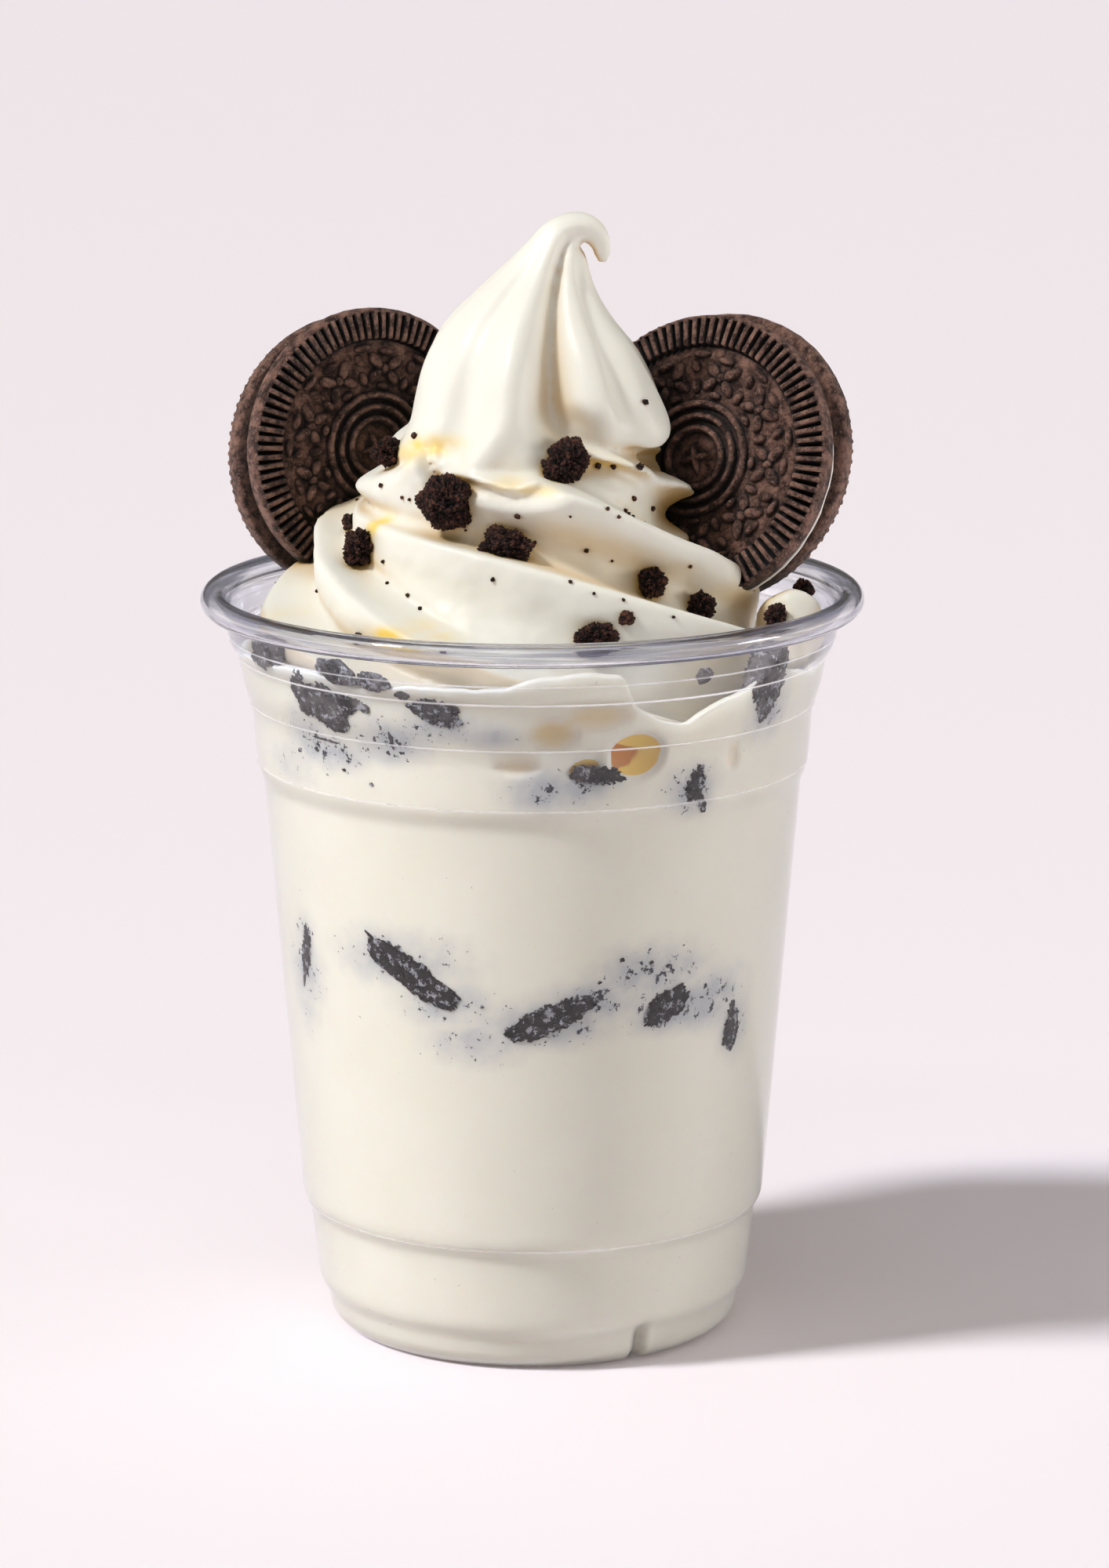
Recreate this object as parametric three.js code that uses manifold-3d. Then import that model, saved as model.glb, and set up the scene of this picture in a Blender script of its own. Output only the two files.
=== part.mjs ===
// A cup of frozen yogurt: a clear plastic cup with a rolled rim, yogurt blended with broken
// chocolate cookie, a piped swirl on top, two chocolate sandwich cookies pushed into the swirl,
// and cookie chunks on it. Millimetres, +Z up. The cup stands on Z = 0 with its axis on Z,
// and the dessert faces -Y. An angle is measured from the front (-Y) towards +X, in degrees.

import * as THREE from "three";
import { mergeVertices } from "three/addons/utils/BufferGeometryUtils.js";
import Module from "manifold-3d";

const wasm = await Module();
wasm.setup();

// ---- Driving dimensions ----

const GAP = 0.3; // left between pieces that touch
const ROOM = 0.45; // by which an uneven piece is grown to cut its own bed

// Cup: 98 mm across its rolled rim and 112 mm tall.
const CUP = { wall: 0.7, columns: 42, floor: 3.0 };
const RIM = { radius: 47.2, height: 110.2, outer: 1.8, inner: 1.1, from: 180, to: -60, steps: 5 };
// The outside of the wall, as [radius, height], from the foot to the rim's root.
const WALL_OUTSIDE = [
  [28.5, 0],
  [30.4, 1.6],
  [31.2, 5.2], // groove above the foot
  [32.3, 6.8],
  [33.5, 18.0], // lowest step
  [34.6, 19.8],
  [39.9, 83.5], // straight flank up to the step that stops the stack
  [40.9, 86.0],
  [41.5, 94.0], // the two steps under the rim
  [42.9, 98.4],
  [43.5, 102.0],
  [45.0, 104.6],
  [45.4, 109.0],
];
const FOOT_RING = { inner: 25.2, panel: 23.2 }; // the ring it stands on, round the raised panel
// Drain notches in the foot.
const NOTCH = { angle: 31, count: 3, depth: 1.9, top: 6.4, halfWidth: 3, inside: 27, spare: 2 };

// Piped swirl, lower part: a cone of yogurt whose ridges run down to the right.
const TURN_DROP = 58.7; // how far a ridge falls in one turn
const SKIRT = { low: 89, high: 136, rows: 21, columns: 40, offset: -2.2, squeeze: 0.9 };
// Radius of the cone between its ridges, as [height, radius].
const SKIRT_BODY = [
  [86, 31],
  [98, 34],
  [104, 34.2],
  [108, 32.5],
  [112, 29],
  [116, 25.2],
  [119, 23.2],
  [122, 22],
  [128, 21.8],
  [131, 20.8],
  [134, 18.4],
  [137, 14],
  [140, 9],
];
// Each ridge: its height at the front, how far it stands out and where that swells, its reach
// above and below the crest, the crest's rounding, its overhang, and how much its line bows.
const RIDGES = [
  [141.0, 4.0, 0, 0, 1.2, 2.2, 0.6, 0.8, 0, 0],
  [132.4, 5.6, 0.35, 90, 2.2, 3.0, 0.6, 1.0, 2.0, 10],
  [124.4, 2.2, 0.5, 60, 1.8, 2.2, 1.5, 0.3, 9.5, 20],
  [120.4, 4.8, 0.45, 90, 2.2, 3.0, 0.6, 1.0, 7.6, 12],
  [107.6, 6.0, 0.28, -80, 1.4, 3.0, 0.6, 1.2, 6.0, -40],
  [98.0, 5.4, 0, 0, 3.2, 4.0, 2.0, 0.6, 2.7, 0],
  [91.2, 3.4, 0, 0, 3.2, 3.0, 0.8, 0.6, 1.0, 0],
].map(([at, out, swell, swellAt, above, below, round, lip, bow, bowAt]) => (
  { at, out, swell, swellAt, above, below, round, lip, bow, bowAt }
));
// The second ridge runs out furthest in front of the right cookie.
const TONGUE = { ridge: 1, out: 3.4, at: 68, width: 20 };

// Piped swirl, top: a fluted cap on a spine that leans, then curls over to the right.
const CAP = { x: 1.4, z: 132.6, length: 41.3, rows: 18, columns: 36 };
const CURL = { lean: -9, leanEnd: 17, leanOver: 28, turn: 150, from: 29, to: 40.4 };
// Radius of the cap along its spine, as [length, radius].
const CAP_BODY = [
  [0, 19.4],
  [1.5, 20.2],
  [4.5, 20],
  [9, 18.5],
  [12.5, 17],
  [16.4, 14.7],
  [21.4, 10.3],
  [25.6, 6.9],
  [29.7, 4.5],
  [33, 2.8],
  [36, 2],
  [38.8, 1.4],
  [40.4, 1],
  [41.3, 0.3],
];
// Each groove between flutes: its angle half way up and at the hem, its depth and half width.
const GROOVES = [
  { angle: -36, hemAngle: -42, depth: 0.07, width: 9 },
  { angle: 10, hemAngle: 22, depth: 0.27, width: 12 },
  { angle: 46, hemAngle: 48, depth: 0.12, width: 8 },
  { angle: 92, hemAngle: 95, depth: 0.14, width: 11 },
  { angle: 136, hemAngle: 142, depth: 0.18, width: 12 },
  { angle: 178, hemAngle: 186, depth: 0.2, width: 12 },
  { angle: -140, hemAngle: -134, depth: 0.18, width: 12 },
  { angle: -92, hemAngle: -88, depth: 0.1, width: 11 },
];
const FOLD = { angle: -12, hemAngle: -27, height: 0.07, width: 7 }; // the one sharp fold
const FOLD_TOP = { from: 20, to: 40 }; // where along the spine it dies away
// The cap's hem as [angle, height], and how far up the spine its waves are felt.
const HEM = [
  [-180, 132],
  [-120, 131.4],
  [-90, 130.6],
  [-56, 133.4],
  [-45, 135.6],
  [-39, 133.4],
  [-32, 130.2],
  [-14, 130.7],
  [0, 129.7],
  [11, 130.8],
  [22, 133.6],
  [47, 132.3],
  [60, 130.9],
  [85, 131.8],
  [120, 131],
  [180, 132],
];
const HEM_REACH = 14;

// A small curl of yogurt that stands against the wall on the right.
const DOLLOP = { angle: 74, radius: 38.2, height: 106.8, size: [5.2, 5.4, 5.6] };

// Blended yogurt: how high it stands against the wall, with its waves as [height, turns, phase].
const BLEND = {
  footing: 1.7,
  level: 97.5,
  center: 95,
  waves: [[1.6, 2, 70], [1.1, 3, 20], [0.6, 7, 0]],
};

// Chocolate sandwich cookies: the middle of the front face, the way that face looks, and how
// far the back wafer has slipped up on the cream.
const WAFER = { thickness: 3.7, ribs: 24, ribDepth: 0.55, edge: 0.5 };
const CREAM = { thickness: 3.0, inset: 2.6 };
const COOKIES = [
  {
    name: "cookie_right",
    radius: 21.8,
    face: [23.5, 1, 130.8],
    looks: [-0.494, -0.807, 0.323],
    slip: 1.4,
  },
  {
    name: "cookie_left",
    radius: 20.8,
    face: [-23, 14, 130.2],
    looks: [0.534, -0.843, 0.072],
    slip: -1.3,
  },
];
// Raised pattern inside the ribs, as fractions of the wafer's radius.
const PATTERN = {
  lozenges: 12,
  ring: 0.53,
  long: 0.13,
  wide: 0.075,
  high: 0.5,
  hoop: 0.32,
  hoopWidth: 0.045,
};

// Cookie chunks on the swirl: where each sits, its width, height and depth, and how far its
// right end is turned up.
const TOP_CHUNKS = [
  { angle: -26, height: 127, size: [8, 8, 6], turn: 10 },
  { angle: 21, height: 132, size: [6.2, 8.6, 6], turn: -38 },
  { angle: -4, height: 121, size: [8, 5.6, 5], turn: 0 },
  { angle: -71, height: 132.2, size: [4.6, 4.2, 4.4], turn: 20 },
  { angle: -62, height: 119, size: [5, 5.4, 4.6], turn: 0 },
  { angle: 46, height: 115, size: [4.6, 4.6, 4], turn: 30 },
  { angle: 60, height: 111, size: [4.6, 4.4, 4], turn: 0 },
  { angle: 20, height: 109.2, size: [6.2, 5, 4.6], turn: 15 },
];
// Cookie chunks in the yogurt against the wall, told in the same way.
const WALL_CHUNKS = [
  { angle: -44, height: 100.6, size: [13, 7.5, 4.5], turn: -8 },
  { angle: -61, height: 105.6, size: [6, 4.5, 4], turn: 10 },
  { angle: -18, height: 101, size: [8.5, 4.5, 4], turn: -12 },
  { angle: 52, height: 102.4, size: [6.5, 11, 4.5], turn: -12 },
  { angle: 13, height: 91.6, size: [8, 2.8, 3.4], turn: -6 },
  { angle: 35, height: 89, size: [3.2, 5.2, 3.4], turn: -15 },
  { angle: -28, height: 61.6, size: [17, 5.5, 4.5], turn: -33 },
  { angle: -61, height: 60.5, size: [2.8, 9.5, 3.6], turn: -14 },
  { angle: 4, height: 55.2, size: [12, 4.4, 4.2], turn: 24 },
  { angle: 31, height: 55.8, size: [8.5, 5.6, 4.4], turn: 35 },
  { angle: 52, height: 50.6, size: [3.6, 8, 3.8], turn: -6 },
];

// ---- Small helpers ----

const radians = THREE.MathUtils.degToRad;
const lerp = THREE.MathUtils.lerp;
const bell = (distance, width) => Math.exp(-((distance / width) ** 2));
const smooth = (from, to, x) => THREE.MathUtils.smoothstep(x, from, to);
const wrapped = (angle) => THREE.MathUtils.euclideanModulo(angle + 180, 360) - 180;
const onCircle = (angle, radius, z) =>
  new THREE.Vector3(radius * Math.sin(radians(angle)), -radius * Math.cos(radians(angle)), z);

// A smooth curve through [x, y] stations, read at x.
function through(stations, x) {
  const last = stations.length - 1;
  const at = THREE.MathUtils.clamp(x, stations[0][0], stations[last][0]);
  let i = 0;
  while (i < last - 1 && at > stations[i + 1][0]) i += 1;
  const slope = (k) => {
    const a = stations[Math.max(k - 1, 0)];
    const b = stations[Math.min(k + 1, last)];
    return (b[1] - a[1]) / (b[0] - a[0]);
  };
  const [x0, y0] = stations[i];
  const [x1, y1] = stations[i + 1];
  const span = x1 - x0;
  const t = (at - x0) / span;
  const rise = t * t * (3 - 2 * t);
  const fromStart = t * (1 - t) ** 2 * span * slope(i);
  const fromEnd = t * t * (t - 1) * span * slope(i + 1);
  return lerp(y0, y1, rise) + fromStart + fromEnd;
}

// Seeded random numbers from 0 to 1.
function randomFrom(seed) {
  let state = seed * 7919 + 17;
  return () => {
    state = (state * 1103515245 + 12345) % 2147483648;
    return state / 2147483648;
  };
}

// ---- Solids and joins ----

// The geometry as a manifold-3d solid, with its shared vertices merged.
function toSolid(geometry) {
  const bare = geometry.clone();
  bare.deleteAttribute("normal");
  bare.deleteAttribute("uv");
  const merged = mergeVertices(bare, 1e-4);
  const corners = merged.index.array;
  const triVerts = [];
  for (let i = 0; i < corners.length; i += 3) {
    const [a, b, c] = [corners[i], corners[i + 1], corners[i + 2]];
    if (a !== b && b !== c && c !== a) triVerts.push(a, b, c);
  }
  const vertProperties = merged.attributes.position.array;
  return new wasm.Manifold(
    new wasm.Mesh({ numProp: 3, vertProperties, triVerts: new Uint32Array(triVerts) }),
  );
}

// The largest body of a solid as geometry: scraps that a cut leaves loose are dropped.
function toGeometry(solid) {
  const bodies = solid.decompose().sort((a, b) => b.volume() - a.volume());
  const mesh = bodies[0].getMesh();
  const geometry = new THREE.BufferGeometry();
  geometry.setAttribute("position", new THREE.BufferAttribute(mesh.vertProperties, 3));
  geometry.setIndex(new THREE.BufferAttribute(mesh.triVerts, 1));
  geometry.computeVertexNormals();
  return geometry;
}

// A closed surface through rings: place(angle, station) gives each point of a ring,
// and a fan to the middle of the first and the last ring closes it.
function ringed(stations, columns, place) {
  const middle = (station) => {
    const sum = new THREE.Vector3();
    for (let i = 0; i < columns; i += 1) sum.add(place((i * 360) / columns, station));
    return sum.divideScalar(columns);
  };
  const last = stations.length - 1;
  const profile = stations.map((station, i) => new THREE.Vector2(1, i));
  const closed = [new THREE.Vector2(0, 0), ...profile, new THREE.Vector2(0, last)];
  const geometry = new THREE.LatheGeometry(closed, columns);
  const position = geometry.attributes.position;
  const point = new THREE.Vector3();
  for (let i = 0; i < position.count; i += 1) {
    point.fromBufferAttribute(position, i);
    const station = stations[Math.round(point.y)];
    const angle = THREE.MathUtils.radToDeg(Math.atan2(point.x, point.z));
    const onRing = Math.hypot(point.x, point.z) > 0.5;
    const placed = onRing ? place(angle, station) : middle(station);
    position.setXYZ(i, placed.x, placed.y, placed.z);
  }
  return geometry;
}

// ---- Cup ----

// Distance from the cup's axis to the outside of its wall at a height.
function wallOutside(z) {
  const above = WALL_OUTSIDE.findIndex(([, height]) => height >= z);
  if (above <= 0) return WALL_OUTSIDE.at(above)[0];
  const [r0, z0] = WALL_OUTSIDE[above - 1];
  const [r1, z1] = WALL_OUTSIDE[above];
  return lerp(r0, r1, (z - z0) / (z1 - z0));
}
const wallInside = (z) => wallOutside(z) - CUP.wall;

// How far the foot's notches push the wall in at an angle and a height.
function notchDepth(angle, z, spare = 0) {
  const step = 360 / NOTCH.count;
  const away = THREE.MathUtils.euclideanModulo(angle - NOTCH.angle + step / 2, step) - step / 2;
  const across = Math.max(0, 1 - Math.abs(away) / NOTCH.halfWidth);
  const top = NOTCH.top + spare;
  return (NOTCH.depth + spare / 4) * across * (1 - smooth(top - 2, top, z));
}

// A turned piece of the cup or of what fills it: [radius, height] points turned about Z, with
// the columns next to each notch moved close to it, and the notches pressed in.
function turned(profile, spare = 0) {
  const points = profile.map(([r, z]) => new THREE.Vector2(r, z));
  const geometry = new THREE.LatheGeometry(points, CUP.columns, radians(NOTCH.angle));
  const position = geometry.attributes.position;
  const column = 360 / CUP.columns;
  const step = 360 / NOTCH.count;
  for (let i = 0; i < position.count; i += 1) {
    const x = position.getX(i);
    const z = position.getZ(i);
    const height = position.getY(i);
    const radius = Math.hypot(x, z);
    let angle = THREE.MathUtils.radToDeg(Math.atan2(x, z));
    const away = THREE.MathUtils.euclideanModulo(angle - NOTCH.angle + step / 2, step) - step / 2;
    if (Math.abs(Math.abs(away) - column) < 0.1) {
      angle += Math.sign(away) * (NOTCH.halfWidth - column);
    }
    const pressed = radius > NOTCH.inside ? notchDepth(angle, height, spare) : 0;
    const placed = onCircle(angle, radius - pressed, height);
    position.setXYZ(i, placed.x, placed.y, placed.z);
  }
  return geometry;
}

function rimArc(radius) {
  const points = [];
  for (let i = 0; i <= RIM.steps; i += 1) {
    const turn = radians(lerp(RIM.from, RIM.to, i / RIM.steps));
    points.push([RIM.radius + radius * Math.cos(turn), RIM.height + radius * Math.sin(turn)]);
  }
  return points;
}

function cupGeometry() {
  const inside = WALL_OUTSIDE.slice(1).map(([r, z]) => [r - CUP.wall, z]);
  const floorTop = CUP.floor + CUP.wall;
  return turned([
    [0, CUP.floor],
    [FOOT_RING.panel, CUP.floor],
    [FOOT_RING.inner, 0],
    ...WALL_OUTSIDE,
    ...rimArc(RIM.inner),
    ...rimArc(RIM.outer).reverse(),
    ...inside.reverse(),
    [WALL_OUTSIDE[0][0], CUP.wall],
    [FOOT_RING.inner + CUP.wall, CUP.wall],
    [FOOT_RING.panel + CUP.wall, floorTop],
    [0, floorTop],
  ]);
}

// ---- Piped swirl ----

// A point on the lower part of the swirl. grow moves it outwards.
function skirtPoint(angle, z, grow = 0) {
  let out = 0;
  let lip = 0;
  for (const [i, ridge] of RIDGES.entries()) {
    const bow = ridge.bow * (1 - Math.cos(radians(angle - ridge.bowAt)));
    const swell = 1 + ridge.swell * Math.cos(radians(angle - ridge.swellAt));
    const tongue = i === TONGUE.ridge ? TONGUE.out * bell(angle - TONGUE.at, TONGUE.width) : 0;
    for (const turn of [-1, 0, 1]) {
      const away = z + (TURN_DROP * angle) / 360 + bow - ridge.at - turn * TURN_DROP;
      const reach = away > 0 ? ridge.above : ridge.below;
      const rounded = Math.hypot(away, ridge.round) - ridge.round;
      out += (ridge.out * swell + tongue) * Math.exp(-rounded / reach);
      lip += ridge.lip * bell(away, 1.5);
    }
  }
  const fade = THREE.MathUtils.clamp((140 - z) / 6, 0, 1);
  const point = onCircle(angle, through(SKIRT_BODY, z) + out * fade + grow, z - lip * fade);
  point.x += SKIRT.offset;
  const room = wallInside(point.z) - SKIRT.squeeze + grow;
  const radius = Math.hypot(point.x, point.y);
  if (radius > room) point.multiply(new THREE.Vector3(room / radius, room / radius, 1));
  return point;
}

function skirtGeometry(grow = 0) {
  const stations = [];
  for (let i = 0; i <= SKIRT.rows; i += 1) {
    stations.push(lerp(SKIRT.low, SKIRT.high, i / SKIRT.rows));
  }
  return ringed(stations, SKIRT.columns, (angle, z) => {
    const point = skirtPoint(wrapped(angle), z, grow);
    if (z === SKIRT.low) point.z -= grow;
    return point;
  });
}

// The cap's spine: points and leanings at even steps, from its hem to its curled tip.
function capSpine(steps) {
  const step = CAP.length / steps;
  const spine = [];
  let x = CAP.x;
  let z = CAP.z;
  for (let i = 0; i <= steps; i += 1) {
    const s = i * step;
    const curl = CURL.turn * smooth(CURL.from, CURL.to, s);
    const lean = lerp(CURL.lean, CURL.leanEnd, s / CURL.leanOver) + curl;
    spine.push({ x, z, lean: radians(lean) });
    x += step * Math.sin(radians(lean));
    z += step * Math.cos(radians(lean));
  }
  return spine;
}
const SPINE_STEPS = 826;
const SPINE = capSpine(SPINE_STEPS);

// A point on the cap, s millimetres along its spine from the hem.
function capPoint(angle, s) {
  const nearHem = 1 - smooth(0, 9, s);
  const fluted = 1 - smooth(30, 38, s);
  const side = ({ angle: up, hemAngle: down }) => wrapped(angle - lerp(up, down, nearHem));
  let round = 1;
  for (const groove of GROOVES) {
    const cut = bell(side(groove), groove.width * (1 + 0.5 * nearHem)) * groove.depth;
    round -= cut * fluted * (1 - 0.35 * nearHem);
  }
  const fold = FOLD.height * bell(side(FOLD), FOLD.width);
  round += fold * fluted * (1 - smooth(FOLD_TOP.from, FOLD_TOP.to, s));
  const { x, z, lean } = SPINE[Math.round((s / CAP.length) * SPINE_STEPS)];
  const across = onCircle(angle, through(CAP_BODY, s) * round, 0);
  const hem = through(HEM, wrapped(angle)) - CAP.z;
  const along = hem * (1 - smooth(0, HEM_REACH, s));
  return new THREE.Vector3(
    x + across.x * Math.cos(lean) + along * Math.sin(lean),
    across.y,
    z - across.x * Math.sin(lean) + along * Math.cos(lean),
  );
}

function capGeometry() {
  const stations = [];
  // The rows lie closer towards the curl.
  for (let i = 0; i <= CAP.rows; i += 1) {
    stations.push(CAP.length * (1 - (1 - i / CAP.rows) ** 1.5));
  }
  return ringed(stations, CAP.columns, capPoint);
}

// The small curl of yogurt against the wall.
function dollopGeometry(grow = 0) {
  const { angle, radius, height, size } = DOLLOP;
  const [wide, deep, tall] = size.map((half) => half + grow);
  const geometry = new THREE.SphereGeometry(1, 14, 9).rotateX(Math.PI / 2);
  const middle = onCircle(angle, radius, height);
  geometry.scale(wide, deep, tall).rotateZ(radians(angle));
  return geometry.translate(middle.x, middle.y, middle.z);
}

// ---- Blended yogurt ----

function blendLevel(angle) {
  const wave = ([high, turns, phase]) => high * Math.sin(radians(turns * angle + phase));
  return BLEND.waves.reduce((sum, each) => sum + wave(each), BLEND.level);
}

// The space inside the cup, GAP clear of it, up to a height that may change with the angle.
function cavityGeometry(top, level) {
  const floor = CUP.floor + CUP.wall + GAP;
  const heights = WALL_OUTSIDE.map(([, z]) => z).filter((z) => z > 1 && z < top - 1);
  const bottom = [
    [0, floor],
    [FOOT_RING.panel + CUP.wall, floor],
    [FOOT_RING.inner + CUP.wall, BLEND.footing],
    [WALL_OUTSIDE[0][0] + GAP, BLEND.footing],
  ];
  const wall = [...heights, top].map((z) => [wallInside(z) - GAP, z]);
  const lid = [[wallInside(top) * 0.8, top], [0, top]];
  const geometry = turned([...bottom, ...wall, ...lid], NOTCH.spare);
  if (!level) return geometry;
  const position = geometry.attributes.position;
  for (let i = 0; i < position.count; i += 1) {
    const [x, y, z] = [position.getX(i), position.getY(i), position.getZ(i)];
    if (z < top) continue;
    const radius = Math.hypot(x, y);
    const share = radius / (wallInside(top) - GAP);
    const angle = THREE.MathUtils.radToDeg(Math.atan2(x, -y));
    const height = lerp(BLEND.center, level(angle), share ** 2);
    const fit = radius > 1 ? (share * (wallInside(height) - GAP)) / radius : 1;
    position.setXYZ(i, x * fit, y * fit, height);
  }
  return geometry;
}

// ---- Cookies ----

// A cookie's own frame: X to its right, Y up its face, Z out of its front face.
function cookiePose({ face, looks }) {
  const out = new THREE.Vector3(...looks).normalize();
  const right = new THREE.Vector3(0, 0, 1).cross(out).normalize();
  const up = out.clone().cross(right);
  return new THREE.Matrix4().makeBasis(right, up, out).setPosition(...face);
}

// A wafer with its outer face at z = 0, looking up: ribs round the edge of a flat field.
function waferGeometry(radius) {
  const back = -WAFER.thickness;
  const field = -WAFER.edge;
  const ribs = { outer: 0.93 * radius, inner: 0.74 * radius };
  const profile = [
    [0, back],
    [radius, back],
    [radius, -WAFER.edge],
    [ribs.outer, 0],
    [ribs.inner, 0],
    [0.7 * radius, field],
    [0, field],
  ];
  const columns = 2 * WAFER.ribs;
  const points = profile.map(([r, z]) => new THREE.Vector2(r, z));
  const geometry = new THREE.LatheGeometry(points, columns).rotateX(Math.PI / 2);
  const position = geometry.attributes.position;
  for (let i = 0; i < position.count; i += 1) {
    const [x, y, z] = [position.getX(i), position.getY(i), position.getZ(i)];
    const column = Math.round((Math.atan2(y, x) / (2 * Math.PI)) * columns);
    const onRib = Math.hypot(x, y) > ribs.inner - 0.1 && z > -0.1;
    if (onRib && column % 2) position.setZ(i, z - WAFER.ribDepth);
  }
  return geometry;
}

// A ring of lozenges and a hoop, raised on the wafer's field.
function patternSolids(radius) {
  const field = -WAFER.edge;
  const hoop = [
    [PATTERN.hoop - PATTERN.hoopWidth, field - 0.3],
    [PATTERN.hoop + PATTERN.hoopWidth, field - 0.3],
    [PATTERN.hoop, field + PATTERN.high],
    [PATTERN.hoop - PATTERN.hoopWidth, field - 0.3],
  ];
  const points = hoop.map(([share, z]) => new THREE.Vector2(share * radius, z));
  const solids = [toSolid(new THREE.LatheGeometry(points, 20).rotateX(Math.PI / 2))];
  for (let i = 0; i < PATTERN.lozenges; i += 1) {
    const lozenge = new THREE.OctahedronGeometry(1);
    lozenge.scale(PATTERN.long * radius, PATTERN.wide * radius, PATTERN.high);
    lozenge.translate(PATTERN.ring * radius, 0, field);
    solids.push(toSolid(lozenge.rotateZ((i * 2 * Math.PI) / PATTERN.lozenges)));
  }
  return solids;
}

function embossedWafer(radius) {
  const plain = toSolid(waferGeometry(radius));
  return toGeometry(patternSolids(radius).reduce((sum, raised) => sum.add(raised), plain));
}

function creamGeometry(radius) {
  const thickness = CREAM.thickness - 2 * GAP;
  const reach = radius - CREAM.inset;
  return new THREE.CylinderGeometry(reach, reach, thickness, 36).rotateX(Math.PI / 2);
}

// The room a whole cookie takes in the swirl: two discs that meet in the cream.
function cookieRoom(cookie) {
  const half = WAFER.thickness + CREAM.thickness / 2;
  const disc = (slip, z) => {
    const radius = cookie.radius + ROOM;
    const room = new THREE.CylinderGeometry(radius, radius, half + 2 * GAP, 40);
    room.rotateX(Math.PI / 2).translate(0, slip, z);
    return toSolid(room.applyMatrix4(cookiePose(cookie)));
  };
  return disc(0, -half / 2).add(disc(cookie.slip, -1.5 * half));
}

// ---- Chunks ----

// A rough chunk of broken cookie round a place, turned in the plane that faces outwards.
function chunkGeometry(place, angle, { size, turn }, seed, grow = 0) {
  const random = randomFrom(seed);
  const rough = new THREE.IcosahedronGeometry(1, 1);
  rough.deleteAttribute("normal");
  rough.deleteAttribute("uv");
  const geometry = mergeVertices(rough, 1e-3);
  const position = geometry.attributes.position;
  for (let i = 0; i < position.count; i += 1) {
    const reach = 0.82 + 0.3 * random();
    const [x, y, z] = [position.getX(i), position.getY(i), position.getZ(i)];
    position.setXYZ(i, x * reach, y * reach, z * reach);
  }
  const [wide, tall, deep] = size.map((full) => full / 2 + grow);
  geometry.scale(wide, deep, tall).rotateY(-radians(turn)).rotateZ(radians(angle));
  return geometry.translate(place.x, place.y, place.z);
}

function topChunk(chunk, seed, grow) {
  const surface = skirtPoint(chunk.angle, chunk.height);
  const lifted = surface.add(onCircle(chunk.angle, chunk.size[2] * 0.22, chunk.size[2] * 0.1));
  return chunkGeometry(lifted, chunk.angle, chunk, seed, grow);
}

function wallChunk(chunk, seed, grow) {
  const radius = wallInside(chunk.height) - chunk.size[2] * 0.35;
  return chunkGeometry(onCircle(chunk.angle, radius, chunk.height), chunk.angle, chunk, seed, grow);
}

// ---- Assembly ----

const finish = (settings) => new THREE.MeshStandardMaterial(settings);
const plastic = finish({ color: "#e4eaf2", roughness: 0.08, transparent: true, opacity: 0.3 });
const blendFinish = finish({ color: "#eeebe2", roughness: 0.5 });
const swirlFinish = finish({ color: "#f8f5e9", roughness: 0.42 });
const waferFinish = finish({ color: "#3b2a26", roughness: 0.85 });
const creamFinish = finish({ color: "#f2efe9", roughness: 0.6 });
const chunkFinish = finish({ color: "#2f2220", roughness: 0.9 });

const dessert = new THREE.Group();

function add(name, geometry, material, parent = dessert) {
  const mesh = new THREE.Mesh(geometry, material);
  mesh.name = name;
  parent.add(mesh);
  return mesh;
}

const numbered = (prefix, list, shape, firstSeed) =>
  list.map((chunk, i) => ({
    name: `${prefix}_${i + 1}`,
    make: (grow) => shape(chunk, firstSeed + i, grow),
  }));
const chunks = [
  ...numbered("top_chunk", TOP_CHUNKS, topChunk, 1),
  ...numbered("wall_chunk", WALL_CHUNKS, wallChunk, 31),
];
const chunkRooms = chunks.map(({ make }) => toSolid(make(ROOM)));
const cookieRooms = COOKIES.map(cookieRoom);
const cutOut = (solid, rooms) => rooms.reduce((rest, room) => rest.subtract(room), solid);

const skirtAndDollop = (grow) => toSolid(skirtGeometry(grow)).add(toSolid(dollopGeometry(grow)));
const swirl = skirtAndDollop(0).add(toSolid(capGeometry()));
const blend = toSolid(cavityGeometry(BLEND.level, blendLevel));
const cavity = toSolid(cavityGeometry(WALL_OUTSIDE.at(-1)[1]));
const beddedBlend = cutOut(blend, [skirtAndDollop(ROOM), ...chunkRooms]);
const beddedSwirl = cutOut(swirl, [...cookieRooms, ...chunkRooms]);

add("cup", cupGeometry(), plastic);
add("yogurt_blend", toGeometry(beddedBlend), blendFinish);
add("yogurt_swirl", toGeometry(beddedSwirl), swirlFinish);

for (const cookie of COOKIES) {
  const group = new THREE.Group();
  group.applyMatrix4(cookiePose(cookie));
  const thickness = 2 * WAFER.thickness + CREAM.thickness;
  const { name, radius } = cookie;
  add(`${name}_front_wafer`, embossedWafer(radius), waferFinish, group);
  add(`${name}_cream`, creamGeometry(radius), creamFinish, group).position.z = -thickness / 2;
  const back = add(`${name}_back_wafer`, waferGeometry(radius), waferFinish, group);
  back.position.set(0, cookie.slip, -thickness);
  back.rotation.x = Math.PI;
  dessert.add(group);
}

for (const { name, make } of chunks) {
  const solid = toSolid(make(0));
  add(name, toGeometry(name.startsWith("wall") ? solid.intersect(cavity) : solid), chunkFinish);
}

export default dessert;
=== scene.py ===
import math
import random

import bmesh
import bpy
from mathutils import Matrix, Vector, noise
from mathutils.bvhtree import BVHTree


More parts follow.
